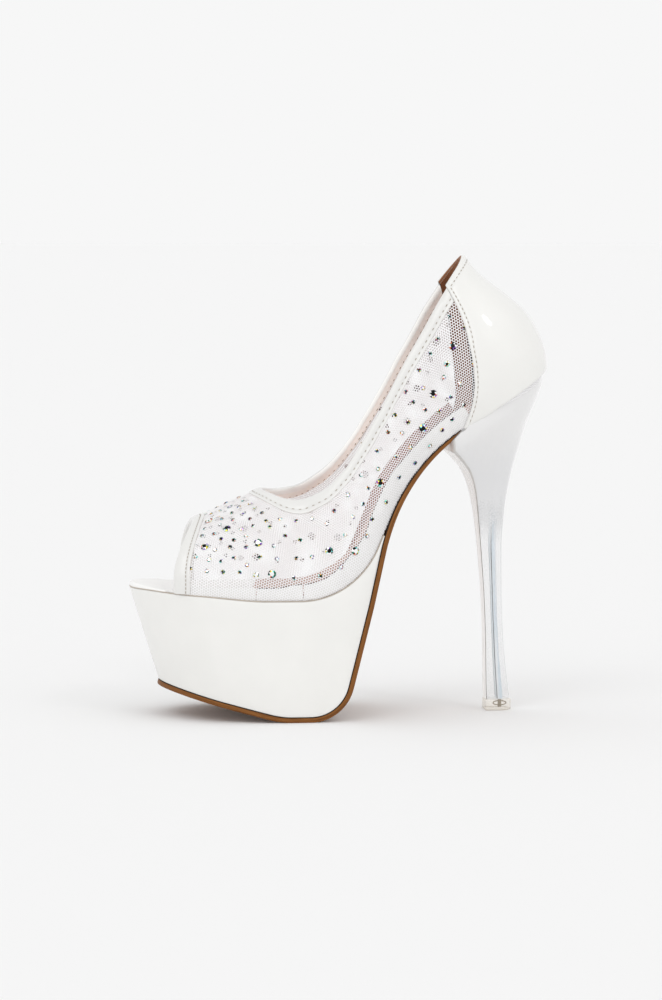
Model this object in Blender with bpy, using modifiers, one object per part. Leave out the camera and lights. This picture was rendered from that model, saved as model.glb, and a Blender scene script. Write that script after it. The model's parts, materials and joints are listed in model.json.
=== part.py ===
"""Platform heel: a peep-toe platform pump for the left foot, built piece by piece on its last.

The script works in millimetres and writes its meshes in metres, +Z up. The toe points to -X,
the outer side of the foot to -Y, and the shoe stands on z = 0 under the middle of its box.
"""

import math

import bmesh
import bpy
import numpy as np

METRES_PER_MM = 0.001

# Driving sizes
SHOE_LENGTH = 200.0
PLATFORM_HEIGHT = 57.8
HEEL_HEIGHT = 159.6
BALL_WIDTH = 80.0
INSTEP = 49.0

# Thicknesses and the clearance between pieces
GAP = 0.3
OVERLAY_GAP = 0.4
UPPER_WALL = 1.3
COUNTER_WALL = 1.2
BINDING_WALL = 0.95
SOLE = 2.4
INSOLE = 2.6

# Side profiles
PITCH = HEEL_HEIGHT - PLATFORM_HEIGHT
TOE_SPRING = 2.8
TREAD_SPRING = 14.2
FOOT_BED_CORNERS = (
    # x, z, corner radius
    (-0.4970 * SHOE_LENGTH, PLATFORM_HEIGHT + TOE_SPRING, 0.0),
    (-0.3710 * SHOE_LENGTH, PLATFORM_HEIGHT, 420.0),
    (0.0241 * SHOE_LENGTH, PLATFORM_HEIGHT, 42.0),
    (0.1830 * SHOE_LENGTH, PLATFORM_HEIGHT + 0.6736 * PITCH, 93.4),
    (0.4890 * SHOE_LENGTH, HEEL_HEIGHT, 0.0),
)
TREAD_CORNERS = (
    # x, z, corner radius
    (-0.4315 * SHOE_LENGTH, TREAD_SPRING, 0.0),
    (-0.1530 * SHOE_LENGTH, 0.0, 45.0),
    (-0.0025 * SHOE_LENGTH, 0.0, 21.0),
    (0.0694 * SHOE_LENGTH, 0.3383 * HEEL_HEIGHT, 200.0),
    (0.1398 * SHOE_LENGTH, 0.7137 * HEEL_HEIGHT, 92.0),
    (0.2875 * SHOE_LENGTH, 0.8408 * HEEL_HEIGHT, 0.0),
)
PROFILE_STEP = 0.5
ARC_STEPS = 6

# Sections of the last: lengths as shares of the foot bed, widths of half the ball, heights of the instep
LAST_COLUMNS = ("along", "lean", "centre", "tread", "girth", "flank", "crest", "outer", "inner")
LAST_ROWS = (
    (0.000, 0.0, 0.120, 0.750, 0.775, 0.163, 0.531, 0.890, 0.930),
    (0.074, 0.0, 0.095, 0.825, 0.850, 0.184, 0.571, 0.890, 0.930),
    (0.149, 0.0, 0.058, 0.925, 0.950, 0.204, 0.765, 0.890, 0.930),
    (0.260, 0.0, 0.008, 0.988, 1.013, 0.224, 1.000, 0.890, 0.930),
    (0.334, 2.0, -0.025, 0.970, 1.000, 0.224, 1.049, 0.925, 1.005),
    (0.392, 6.0, -0.045, 0.913, 0.958, 0.245, 1.184, 0.957, 1.018),
    (0.442, 11.0, -0.052, 0.825, 0.888, 0.265, 1.286, 0.953, 0.983),
    (0.496, 15.5, -0.055, 0.725, 0.808, 0.286, 1.347, 0.902, 0.912),
    (0.549, 19.0, -0.050, 0.638, 0.745, 0.286, 1.327, 0.820, 0.808),
    (0.620, 23.5, -0.050, 0.563, 0.695, 0.286, 1.300, 0.731, 0.704),
    (0.665, 25.9, -0.046, 0.546, 0.681, 0.289, 1.273, 0.719, 0.688),
    (0.710, 28.0, -0.038, 0.538, 0.675, 0.296, 1.250, 0.755, 0.713),
    (0.805, 31.0, -0.018, 0.575, 0.683, 0.347, 1.230, 0.912, 0.886),
    (0.906, 32.8, 0.000, 0.638, 0.733, 0.408, 1.335, 1.170, 1.170),
    (1.000, 32.8, 0.000, 0.638, 0.733, 0.408, 1.335, 1.400, 1.400),
)
OUTER, INNER = -1, 1
TOE_ROUND = 34.0

# The half-round heel of the last, behind the pivot
PIVOT_SHARE = 0.906
HEEL_REACH = 22.2
HEEL_WRAP = 38.0
BACK_BULGE = 10.3
BULGE_HEIGHT = 27.0
BULGE_FADE = 40.0
BULGE_POWER = 0.7
BACK_RISE = 12.3

# Cut lines of the upper
THROAT = 63.0
THROAT_LENGTH = 20.0
TOE_EDGE = 19.7
TOE_EDGE_TOP = 30.8
TOE_EDGE_SKEW = 7.0
TOE_EDGE_POWER = 1.4
TOE_BINDING_FOOT = 6.9
TOE_BINDING_TOP = 5.3
TOE_BINDING_LIFT = 0.5
TOPLINE_BINDING_WIDTH = 5.7
COUNTER_START = 195.4
COUNTER_SWEEP = 31.6
COUNTER_CURVE = 23.5
COUNTER_LIFT = 1.5

# Platform, outsole and insole
PLATFORM_PROUD = 0.8
PLATFORM_TAPER = 4.0
PLATFORM_END = 131.0
TREAD_BREAK_X = -16.0
WEDGE_END_X = 21.7
SHANK_PROUD = 0.5
SHANK_THIN = 1.0
INSOLE_TONGUE_END = 15.0
INSOLE_INSIDE_FROM = 17.0
INSOLE_CLEARANCE = 0.35

# Heel
HEEL_COLUMNS = ("front_x", "front_z", "back_x", "back_z", "half")
HEEL_ROWS = (
    (52.0, 126.0, 98.6, 158.9, 26.0),
    (56.7, 121.5, 95.6, 150.5, 21.8),
    (61.7, 115.0, 91.2, 140.0, 16.8),
    (64.7, 106.5, 87.2, 127.0, 12.6),
    (66.2, 98.0, 83.4, 113.0, 9.6),
    (67.6, 86.0, 80.7, 97.0, 7.4),
    (68.9, 72.0, 79.4, 78.0, 6.3),
    (70.3, 52.0, 79.6, 52.0, 5.8),
    (71.0, 32.0, 80.6, 32.0, 5.7),
    (71.2, 14.0, 82.4, 14.0, 5.9),
    (71.4, 5.5, 83.5, 5.5, 6.0),
)
TIP_ROWS = (
    (71.2, 5.2, 84.2, 5.2, 6.2),
    (71.2, 0.0, 84.2, 0.0, 6.2),
)
BREAST_FLAT = 0.88
BREAST_SIDE = 0.97
BREAST_CORNER = 0.08
SEAT_STEP_CLEAR = 0.24
WIDEST = 0.42
SIDE_STEPS = 2
BACK_STEPS = 7

# Mesh density
MERGE_DISTANCE = 1e-5
SHARP_ANGLE = math.radians(35)
NORMAL_STEP = 0.02
FIRST_STATION = 0.25
BINDING_ROWS = 4
FLANK_ROWS = 3
GIRTH_ROWS = 7
VAMP_COLUMNS = 8
CORNER_COLUMNS = 8
QUARTER_COLUMNS = 20
HEEL_WRAP_COLUMNS = 9
TOE_STATIONS = 9
BALL_STATIONS = 6
ARCH_STATIONS = 18
SEAT_STATIONS = 12


def unit(vector):
    """The vector at length one."""
    return vector / np.linalg.norm(vector)


def smooth_curve(knots, values):
    """A cubic through the points that never swings past them, held level beyond the ends."""
    knots = np.asarray(knots, float)
    values = np.asarray(values, float)
    grade = np.diff(values) / np.diff(knots)
    slope = np.zeros(len(values))
    for i in range(1, len(values) - 1):
        if grade[i - 1] * grade[i] > 0:
            slope[i] = 2 * grade[i - 1] * grade[i] / (grade[i - 1] + grade[i])

    def read(at):
        at = min(max(at, knots[0]), knots[-1])
        i = min(int(np.searchsorted(knots, at, side="right")) - 1, len(grade) - 1)
        span = knots[i + 1] - knots[i]
        t = (at - knots[i]) / span
        low = values[i] * (1 + 2 * t) + span * t * slope[i]
        high = values[i + 1] * (3 - 2 * t) - span * (1 - t) * slope[i + 1]
        return low * (1 - t) ** 2 + high * t**2

    return read


def fillet(before, corner, after):
    """Points of the arc that rounds a corner between its neighbours, all given as x, z, radius."""
    here = np.array(corner[:2])
    arriving = unit(here - np.array(before[:2]))
    leaving = unit(np.array(after[:2]) - here)
    turn = math.atan2(np.cross(arriving, leaving), np.dot(arriving, leaving))
    radius = corner[2]
    start = here - radius * math.tan(abs(turn) / 2) * arriving
    inward = math.copysign(1, turn) * np.array((-arriving[1], arriving[0]))
    centre = start + radius * inward
    steps = max(ARC_STEPS, round(radius * abs(turn) / PROFILE_STEP))
    points = []
    for angle in np.linspace(0, turn, steps + 1):
        cosine, sine = math.cos(angle), math.sin(angle)
        x, z = start - centre
        points.append(centre + np.array((cosine * x - sine * z, sine * x + cosine * z)))
    return points


class Profile:
    """A side profile of straight runs and arcs, read by the distance from its first corner."""

    def __init__(self, corners):
        points = [np.array(corners[0][:2])]
        for before, corner, after in zip(corners, corners[1:], corners[2:]):
            points.extend(fillet(before, corner, after))
        points.append(np.array(corners[-1][:2]))
        points = np.array(points)
        travelled = np.concatenate(([0], np.cumsum(np.linalg.norm(np.diff(points, axis=0), axis=1))))
        self.length = travelled[-1]
        self.along = np.linspace(0, self.length, round(self.length / PROFILE_STEP) + 1)
        self.x = np.interp(self.along, travelled, points[:, 0])
        self.z = np.interp(self.along, travelled, points[:, 1])
        self.heading = np.arctan2(np.gradient(self.z), np.gradient(self.x))

    def at(self, along, offset=0.0):
        """The x and z at a distance along, moved off to the upper side."""
        heading = np.interp(along, self.along, self.heading)
        x = np.interp(along, self.along, self.x) - offset * math.sin(heading)
        z = np.interp(along, self.along, self.z) + offset * math.cos(heading)
        return float(x), float(z)

    def along_at_x(self, x):
        """The distance along at which the profile passes an x."""
        return float(np.interp(x, self.x, self.along))

    def height_at_x(self, x, offset=0.0):
        """The z of the profile, moved off to the upper side, at an x."""
        moved_x = self.x - offset * np.sin(self.heading)
        moved_z = self.z + offset * np.cos(self.heading)
        return float(np.interp(x, moved_x, moved_z))


FOOT_BED = Profile(FOOT_BED_CORNERS)
TREAD = Profile(TREAD_CORNERS)


class Last:
    """The form of the foot: sections along the foot bed, and a half-round heel behind the pivot."""

    def __init__(self):
        units = {
            "along": FOOT_BED.length,
            "lean": math.radians(1),
            "centre": BALL_WIDTH / 2,
            "tread": BALL_WIDTH / 2,
            "girth": BALL_WIDTH / 2,
        }
        columns = dict(zip(LAST_COLUMNS, np.array(LAST_ROWS).T))
        sizes = {name: column * units.get(name, INSTEP) for name, column in columns.items()}
        along = sizes.pop("along")
        self.curves = {name: smooth_curve(along, column) for name, column in sizes.items()}
        self.pivot = PIVOT_SHARE * FOOT_BED.length
        self.back = self.pivot + HEEL_WRAP
        self.seat = unit(np.array(FOOT_BED.at(FOOT_BED.length)) - np.array(FOOT_BED.at(self.pivot)))

    def size(self, name, along):
        """One measure of the section at a distance along the foot bed."""
        return self.curves[name](min(along, self.pivot))

    def swing(self, along):
        """The angle turned round the heel, which is zero in front of the pivot."""
        return max(0.0, along - self.pivot) / HEEL_WRAP * math.pi / 2

    def toe_round(self, along):
        """How far the toe's round end narrows the section, from 0 at the tip to 1."""
        short = 1 - min(max(along, 0.0) / TOE_ROUND, 1.0)
        return math.sqrt(1 - short**2)

    def crest(self, along):
        """Height at which the section's two sides would close, which climbs round the heel."""
        return self.size("crest", along) + BACK_RISE * math.sin(self.swing(along))

    def half_and_height(self, along, rise):
        """Half the width and the height at a rise: -1 at the feather line, 0 at the girth, pi/2 on top."""
        girth = self.size("girth", along)
        flank = self.size("flank", along)
        if rise < 0:
            tuck = girth - self.size("tread", along)
            return girth - tuck * rise**2, flank * (1 + rise)
        dome = self.crest(along) - flank
        return girth * math.cos(rise), flank + dome * math.sin(rise)

    def rise_at(self, along, height):
        """The rise at which the section reaches a height."""
        flank = self.size("flank", along)
        if height < flank:
            return height / flank - 1
        dome = self.crest(along) - flank
        return math.asin(min(1.0, (height - flank) / dome))

    def bulge(self, height):
        """How far the back of the heel swells behind the seat at a height."""
        if height < BULGE_HEIGHT:
            low = max(0.0, 1 - ((BULGE_HEIGHT - height) / BULGE_HEIGHT) ** 2)
            return BACK_BULGE * low**BULGE_POWER
        fade = min(1.0, (height - BULGE_HEIGHT) / BULGE_FADE)
        return BACK_BULGE * (0.5 + 0.5 * math.cos(math.pi * fade))

    def point(self, along, side, rise):
        """A point of the last's surface."""
        half, height = self.half_and_height(along, rise)
        half *= self.toe_round(along)
        swing = self.swing(along)
        lean = self.size("lean", along)
        x, z = FOOT_BED.at(min(along, self.pivot))
        back = math.sin(swing) * (HEEL_REACH + self.bulge(height))
        x += back * self.seat[0] - height * math.sin(lean)
        z += back * self.seat[1] + height * math.cos(lean)
        y = self.size("centre", along) + side * half * math.cos(swing)
        return np.array((x, y, z))

    def normal(self, along, side, rise):
        """The direction out of the last's surface."""
        step = NORMAL_STEP
        ahead = self.point(along + step, side, rise) - self.point(along - step, side, rise)
        up = self.point(along, side, rise + step) - self.point(along, side, rise - step)
        return -side * unit(np.cross(ahead, up))

    def over(self, along, side, rise):
        """A point of an overlay's inner face, just clear of the last's surface."""
        return self.point(along, side, rise) + OVERLAY_GAP * self.normal(along, side, rise)

    def topline(self, along, side):
        """Height of the topline over the foot bed."""
        name = "inner" if side == INNER else "outer"
        return self.size(name, along) + BACK_RISE * math.sin(self.swing(along))

    def top_rise(self, along, side, drop=0.0):
        """The rise of the topline, or of a line a set drop below it, rounded in to meet at the throat."""
        rise = self.rise_at(along, self.topline(along, side) - drop)
        ahead = 1 - (along - THROAT + drop) / (THROAT_LENGTH + drop)
        open_share = math.sqrt(1 - min(max(ahead, 0.0), 1.0) ** 2)
        return math.acos(math.cos(rise) * open_share)

    def outline(self, along):
        """Half the width of the foot bed's own outline."""
        return self.size("tread", along) * self.toe_round(along)


LAST = Last()
LAST_TREAD = FOOT_BED.along_at_x(TREAD_BREAK_X)


def toe_edge(side, rise):
    """Where the toe opening's edge lies along the foot at a rise, further back on the inner side."""
    foot = TOE_EDGE + (TOE_EDGE_SKEW if side == INNER else 0.0)
    return TOE_EDGE_TOP - (TOE_EDGE_TOP - foot) * math.cos(max(rise, 0.0)) ** TOE_EDGE_POWER


def counter_edge(share):
    """Where the counter's front edge lies along the foot at a share of the height to the topline."""
    height = share * LAST.size("outer", LAST.pivot)
    return COUNTER_START + COUNTER_SWEEP * (1 - math.exp(-height / COUNTER_CURVE))


def rises_to(top, bottom=-1.0):
    """The rises of a column's rows, from the feather line or a little above it to the top."""
    flank = [bottom * (1 - row / FLANK_ROWS) for row in range(FLANK_ROWS)]
    return flank + [top * row / GIRTH_ROWS for row in range(GIRTH_ROWS + 1)]


def make_material(name, colour, roughness, transmission=0.0):
    """A Principled material."""
    material = bpy.data.materials.new(name)
    material.use_nodes = True
    shader = material.node_tree.nodes["Principled BSDF"]
    shader.inputs["Base Color"].default_value = (*colour, 1.0)
    shader.inputs["Roughness"].default_value = roughness
    shader.inputs["Transmission Weight"].default_value = transmission
    return material


def add_piece(name, grid, material, collection, loop=False):
    """An object from a grid of points in columns, with each column a ring and the ends capped if loop."""
    mesh = bmesh.new()
    columns = [[mesh.verts.new(point * METRES_PER_MM) for point in column] for column in grid]
    rows = len(grid[0])
    for this, following in zip(columns, columns[1:]):
        for row in range(rows if loop else rows - 1):
            above = (row + 1) % rows
            mesh.faces.new((this[row], following[row], following[above], this[above]))
    if loop:
        cap_ladder(mesh, columns[0])
        cap_ladder(mesh, columns[-1])
        bmesh.ops.recalc_face_normals(mesh, faces=mesh.faces)
    bmesh.ops.remove_doubles(mesh, verts=mesh.verts, dist=MERGE_DISTANCE)
    data = bpy.data.meshes.new(name)
    mesh.to_mesh(data)
    mesh.free()
    data.shade_smooth()
    data.set_sharp_from_angle(angle=SHARP_ANGLE)
    piece = bpy.data.objects.new(name, data)
    piece.data.materials.append(material)
    collection.objects.link(piece)
    return piece


def cap_ladder(mesh, ring):
    """Closes a ring with rungs between its two halves, and a triangle where an odd point is left."""
    count = len(ring)
    for i in range((count - 1) // 2):
        rung = (ring[i], ring[i + 1], ring[count - 2 - i], ring[count - 1 - i])
        mesh.faces.new(list(dict.fromkeys(rung)))


def thicken(piece, wall, outward):
    """Gives an open surface its wall."""
    shell = piece.modifiers.new("Wall", "SOLIDIFY")
    shell.thickness = wall * METRES_PER_MM
    shell.offset = 1.0 if outward else -1.0
    shell.use_even_offset = True


def topline_stations(drop, end):
    """Distances along the foot that step evenly round the throat's corner, then along the quarter."""
    start = THROAT - drop
    length = THROAT_LENGTH + drop
    turns = np.linspace(0, math.pi / 2, CORNER_COLUMNS, endpoint=False)
    corner = [start + length * (1 - math.cos(turn)) for turn in turns]
    return corner + list(np.linspace(start + length, end, QUARTER_COLUMNS + 1))


def upper_side(side):
    """The upper's columns on one side, from the toe opening to just short of the back."""
    columns = []
    for i in range(VAMP_COLUMNS):
        share = i / VAMP_COLUMNS
        rises = rises_to(math.pi / 2)
        edges = [toe_edge(side, rise) for rise in rises]
        columns.append([
            LAST.point(edge + share * (THROAT - edge), side, rise) for edge, rise in zip(edges, rises)
        ])
    stations = topline_stations(0.0, LAST.pivot)
    stations += list(np.linspace(LAST.pivot, LAST.back, HEEL_WRAP_COLUMNS, endpoint=False))[1:]
    for along in stations:
        columns.append([LAST.point(along, side, rise) for rise in rises_to(LAST.top_rise(along, side))])
    return columns


def make_upper(collection):
    """The hollow upper, open at the collar, the toe and underneath."""
    back_rises = rises_to(LAST.top_rise(LAST.back, OUTER))
    back = [LAST.point(LAST.back, OUTER, rise) for rise in back_rises]
    grid = upper_side(OUTER) + [back] + upper_side(INNER)[::-1]
    material = make_material("white_net", (0.88, 0.87, 0.86), 0.6)
    thicken(add_piece("upper", grid, material, collection), UPPER_WALL, outward=False)


def make_counter(collection):
    """The patent counter that wraps the heel of the upper."""
    rows = FLANK_ROWS + GIRTH_ROWS

    def column(side, share):
        points = []
        for row in range(rows + 1):
            edge = counter_edge(row / rows)
            along = edge + share * (LAST.back - edge)
            bottom = LAST.rise_at(along, COUNTER_LIFT)
            rise = rises_to(LAST.top_rise(along, side), bottom)[row]
            points.append(LAST.over(along, side, rise))
        return points

    shares = np.linspace(0, 1, 2 * HEEL_WRAP_COLUMNS, endpoint=False)
    grid = [column(OUTER, share) for share in shares]
    grid.append(column(OUTER, 1.0))
    grid += [column(INNER, share) for share in shares[::-1]]
    material = make_material("white_patent_counter", (0.86, 0.86, 0.85), 0.12)
    thicken(add_piece("counter", grid, material, collection), COUNTER_WALL, outward=True)


def make_topline_binding(collection):
    """The folded strip along the topline, from the counter round the throat and back."""
    drops = np.linspace(TOPLINE_BINDING_WIDTH, 0.0, BINDING_ROWS)
    highest = LAST.size("outer", LAST.pivot)
    ends = [counter_edge(1 - drop / highest) - OVERLAY_GAP for drop in drops]
    stations = np.transpose([topline_stations(drop, end) for drop, end in zip(drops, ends)])

    def column(side, alongs):
        rises = [LAST.top_rise(along, side, drop) for along, drop in zip(alongs, drops)]
        return [LAST.over(along, side, rise) for along, rise in zip(alongs, rises)]

    outer = [column(OUTER, alongs) for alongs in stations]
    inner = [column(INNER, alongs) for alongs in stations]
    material = make_material("white_patent_topline", (0.87, 0.86, 0.84), 0.15)
    piece = add_piece("topline_binding", inner[:0:-1] + outer, material, collection)
    thicken(piece, BINDING_WALL, outward=True)


def make_toe_binding(collection):
    """The folded strip round the toe opening."""
    rises = rises_to(math.pi / 2, LAST.rise_at(TOE_EDGE, TOE_BINDING_LIFT))

    def row(side, share):
        points = []
        for rise in rises:
            narrowing = max(rise, 0.0) / (math.pi / 2)
            width = TOE_BINDING_FOOT + narrowing * (TOE_BINDING_TOP - TOE_BINDING_FOOT)
            points.append(LAST.over(toe_edge(side, rise) + share * width, side, rise))
        return points

    shares = np.linspace(0, 1, BINDING_ROWS)
    grid = [row(OUTER, share) + row(INNER, share)[-2::-1] for share in shares]
    material = make_material("white_patent_toe", (0.87, 0.87, 0.86), 0.15)
    thicken(add_piece("toe_binding", grid, material, collection), BINDING_WALL, outward=True)


def toe_stations():
    """Distances along the foot that step evenly round the toe."""
    turns = np.linspace(0, math.pi / 2, TOE_STATIONS + 1)
    return [max(TOE_ROUND * (1 - math.cos(turn)), FIRST_STATION) for turn in turns]


def slab_station(low, high, centre, low_half, high_half):
    """A four-cornered ring between a lower and an upper side-profile point."""
    return [
        np.array((low[0], centre - low_half, low[1])),
        np.array((high[0], centre - high_half, high[1])),
        np.array((high[0], centre + high_half, high[1])),
        np.array((low[0], centre + low_half, low[1])),
    ]


def tread_along(along):
    """The distance along the tread that lies under a distance along the platform's foot bed."""
    known = (0.0, LAST_TREAD, PLATFORM_END)
    under = (0.0, TREAD.along_at_x(TREAD_BREAK_X), TREAD.along_at_x(WEDGE_END_X))
    return float(np.interp(along, known, under))


def platform_halves(along):
    """Half the platform's width at its foot, and at its top."""
    top = LAST.outline(along) + PLATFORM_PROUD * LAST.toe_round(along)
    fade = 1 - max(0.0, along - LAST_TREAD) / (PLATFORM_END - LAST_TREAD)
    foot = top - PLATFORM_TAPER * LAST.toe_round(along) * fade
    return foot, top


def platform_stations():
    """Distances along the foot bed from the toe to the thin end of the platform's wedge."""
    ball = list(np.linspace(TOE_ROUND, LAST_TREAD, BALL_STATIONS, endpoint=False))
    return toe_stations()[:-1] + ball + list(np.linspace(LAST_TREAD, PLATFORM_END, ARCH_STATIONS))


def make_platform(collection):
    """The wedge-backed platform between the foot bed and the outsole."""
    grid = []
    for along in platform_stations():
        low = TREAD.at(tread_along(along), SOLE + GAP)
        high = FOOT_BED.at(along, -GAP)
        grid.append(slab_station(low, high, LAST.size("centre", along), *platform_halves(along)))
    material = make_material("white_patent_platform", (0.86, 0.86, 0.84), 0.2)
    add_piece("platform", grid, material, collection, loop=True)


def make_outsole(collection):
    """The thin outsole, under the platform from the toe, up its back and along the arch to the heel."""
    grid = []
    for along in platform_stations():
        run = tread_along(along)
        half = platform_halves(along)[0]
        centre = LAST.size("centre", along)
        grid.append(slab_station(TREAD.at(run), TREAD.at(run, SOLE), centre, half, half))
    shank_start = tread_along(PLATFORM_END)
    start_half = platform_halves(PLATFORM_END)[0]
    for share in np.linspace(0, 1, ARCH_STATIONS)[1:]:
        run = shank_start + share * (TREAD.length - shank_start)
        x, z = TREAD.at(run)
        along = FOOT_BED.along_at_x(x)
        half = LAST.size("tread", along) + SHANK_PROUD
        half += (1 - share) ** 4 * (start_half - half)
        wall = SOLE - SHANK_THIN * share**2
        inner = TREAD.at(run, SOLE - wall)
        grid.append(slab_station(inner, TREAD.at(run, SOLE), LAST.size("centre", along), half, half))
    material = make_material("tan_outsole", (0.30, 0.15, 0.06), 0.5)
    add_piece("outsole", grid, material, collection, loop=True)


def insole_half(along):
    """Half the insole's width: proud at the toe tongue, and inside the upper's wall behind it."""
    tongue = LAST.outline(along) + PLATFORM_PROUD * LAST.toe_round(along)
    inside = LAST.outline(along) - UPPER_WALL - INSOLE_CLEARANCE
    share = (along - INSOLE_TONGUE_END) / (INSOLE_INSIDE_FROM - INSOLE_TONGUE_END)
    return tongue + min(max(share, 0.0), 1.0) * (inside - tongue)


def make_insole(collection):
    """The insole on the foot bed, with its tongue showing in the toe opening."""
    stations = toe_stations()
    stations += [INSOLE_TONGUE_END, INSOLE_INSIDE_FROM]
    stations += list(np.linspace(TOE_ROUND, LAST.pivot, BALL_STATIONS + ARCH_STATIONS))
    grid = []
    for along in sorted(set(stations)):
        half = insole_half(along)
        centre = LAST.size("centre", along)
        grid.append(slab_station(FOOT_BED.at(along), FOOT_BED.at(along, INSOLE), centre, half, half))
    reach = HEEL_REACH - UPPER_WALL - INSOLE_CLEARANCE
    half = insole_half(LAST.pivot)
    for turn in np.linspace(0, math.pi / 2, SEAT_STATIONS, endpoint=False)[1:]:
        along = LAST.pivot + reach * math.sin(turn)
        width = half * math.cos(turn)
        centre = LAST.size("centre", along)
        grid.append(slab_station(FOOT_BED.at(along), FOOT_BED.at(along, INSOLE), centre, width, width))
    material = make_material("white_insole", (0.84, 0.82, 0.80), 0.35)
    add_piece("insole", grid, material, collection, loop=True)


def seat_step():
    """Depths, as shares of the heel's top, at which its seat steps up behind the end of the outsole."""
    top = dict(zip(HEEL_COLUMNS, HEEL_ROWS[0]))
    depth = top["back_x"] - top["front_x"]
    end_x = TREAD.at(TREAD.length)[0]
    return [(end_x + step - top["front_x"]) / depth for step in (0.0, 2 * GAP)]


def heel_shares():
    """Shares of the depth and of the half width round half a heel section, from breast to back."""
    shares = [(0.0, BREAST_FLAT), (BREAST_CORNER / 3, (BREAST_FLAT + BREAST_SIDE) / 2)]
    sides = np.linspace(SEAT_STEP_CLEAR, WIDEST, SIDE_STEPS, endpoint=False)
    for depth in [BREAST_CORNER, *seat_step(), *sides]:
        short = (WIDEST - depth) / (WIDEST - BREAST_CORNER)
        shares.append((depth, 1 - (1 - BREAST_SIDE) * short**2))
    for turn in np.linspace(0, math.pi / 2, BACK_STEPS + 1):
        shares.append((WIDEST + (1 - WIDEST) * math.sin(turn), math.cos(turn)))
    return shares


def seat_under(x):
    """The highest z that the heel may reach under the foot bed and the end of the outsole."""
    end_x = TREAD.at(TREAD.length)[0]
    if x > end_x + GAP:
        return FOOT_BED.height_at_x(x, -GAP)
    shank_start = tread_along(PLATFORM_END)
    share = (TREAD.along_at_x(x) - shank_start) / (TREAD.length - shank_start)
    return TREAD.height_at_x(x, SHANK_THIN * share**2 - GAP)


def heel_ring(row, fitted=False):
    """A section of the heel, flat at the breast and round at the back, with its top fitted to the seat."""
    size = dict(zip(HEEL_COLUMNS, row))
    side = []
    for depth, width in heel_shares():
        x = size["front_x"] + depth * (size["back_x"] - size["front_x"])
        z = size["front_z"] + depth * (size["back_z"] - size["front_z"])
        side.append((x, width * size["half"], seat_under(x) if fitted else z))
    near = [np.array((x, -y, z)) for x, y, z in side]
    far = [np.array((x, y, z)) for x, y, z in side[-2::-1]]
    return near + far


def make_heel(collection):
    """The slim heel from the seat down to its tip."""
    grid = [heel_ring(row, fitted=i == 0) for i, row in enumerate(HEEL_ROWS)]
    material = make_material("frosted_heel", (0.80, 0.82, 0.85), 0.2, transmission=0.5)
    add_piece("heel", grid, material, collection, loop=True)


def make_heel_tip(collection):
    """The wear piece under the heel."""
    grid = [heel_ring(row) for row in TIP_ROWS]
    material = make_material("clear_tip", (0.85, 0.82, 0.72), 0.2, transmission=0.6)
    add_piece("heel_tip", grid, material, collection, loop=True)


def main():
    """Clears the scene and builds every piece of the shoe."""
    for item in list(bpy.data.objects):
        bpy.data.objects.remove(item)
    shoe = bpy.data.collections.new("platform_heel")
    bpy.context.scene.collection.children.link(shoe)
    make_outsole(shoe)
    make_platform(shoe)
    make_insole(shoe)
    make_upper(shoe)
    make_counter(shoe)
    make_topline_binding(shoe)
    make_toe_binding(shoe)
    make_heel(shoe)
    make_heel_tip(shoe)


main()
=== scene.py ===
"""Looks of a peep-toe platform pump for the left foot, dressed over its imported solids.

Sizes are in millimetres and turn into metres as meshes are made. The toe points to -X and the outer
side of the foot, which faces the camera, to -Y. Every surface is cut from one form, the last.
"""

from __future__ import annotations

import json
import logging
import math
from dataclasses import dataclass, field
from enum import Enum
from typing import Sequence

import bmesh
import bpy
import numpy as np
from bpy.types import Material, Mesh, Node, NodeSocket, Object
from mathutils import Matrix

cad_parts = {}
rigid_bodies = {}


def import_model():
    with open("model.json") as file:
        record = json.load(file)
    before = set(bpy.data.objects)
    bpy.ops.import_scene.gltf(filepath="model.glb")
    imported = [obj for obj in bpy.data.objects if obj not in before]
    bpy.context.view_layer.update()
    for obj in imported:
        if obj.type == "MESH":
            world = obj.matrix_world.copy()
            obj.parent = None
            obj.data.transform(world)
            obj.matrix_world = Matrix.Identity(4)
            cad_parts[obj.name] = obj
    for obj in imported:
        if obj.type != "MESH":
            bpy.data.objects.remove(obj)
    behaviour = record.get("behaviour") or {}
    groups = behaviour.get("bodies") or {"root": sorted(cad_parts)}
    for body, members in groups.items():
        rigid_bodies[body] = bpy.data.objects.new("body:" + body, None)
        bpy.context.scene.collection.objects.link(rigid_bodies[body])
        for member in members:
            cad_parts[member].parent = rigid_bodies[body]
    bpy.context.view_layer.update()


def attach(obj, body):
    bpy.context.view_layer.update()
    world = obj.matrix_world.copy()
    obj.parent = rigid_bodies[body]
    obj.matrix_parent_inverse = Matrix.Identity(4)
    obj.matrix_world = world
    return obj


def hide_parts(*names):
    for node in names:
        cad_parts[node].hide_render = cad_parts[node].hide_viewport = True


Array = np.ndarray
Number = Array | float
Triple = tuple[float, float, float]
Colour = Triple
Limits = tuple[float, float]
Value = NodeSocket | float | Triple

LOG = logging.getLogger("platform_heel")
METRES_PER_MM = 0.001
WELD_METRES = 4e-6
SHORTEST = 1e-12
BODY = "root"


class Side(Enum):
    """The two sides of the foot, valued by the sign of their Y direction."""

    OUTER = -1.0
    INNER = 1.0


class Slot(Enum):
    """The record's material slots."""

    OUTSOLE = "tan_outsole"
    PLATFORM = "white_patent_platform"
    INSOLE = "white_insole"
    NET = "white_net"
    COUNTER = "white_patent_counter"
    TOPLINE = "white_patent_topline"
    TOE = "white_patent_toe"
    HEEL = "frosted_heel"
    TIP = "clear_tip"


class StoneSize(Enum):
    """Diameters of the stones."""

    SMALL = 2.15
    MEDIUM = 2.9
    LARGE = 4.0


def unit(vectors: Array) -> Array:
    """The vectors at length one."""
    return vectors / np.maximum(np.linalg.norm(vectors, axis=-1, keepdims=True), SHORTEST)


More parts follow.
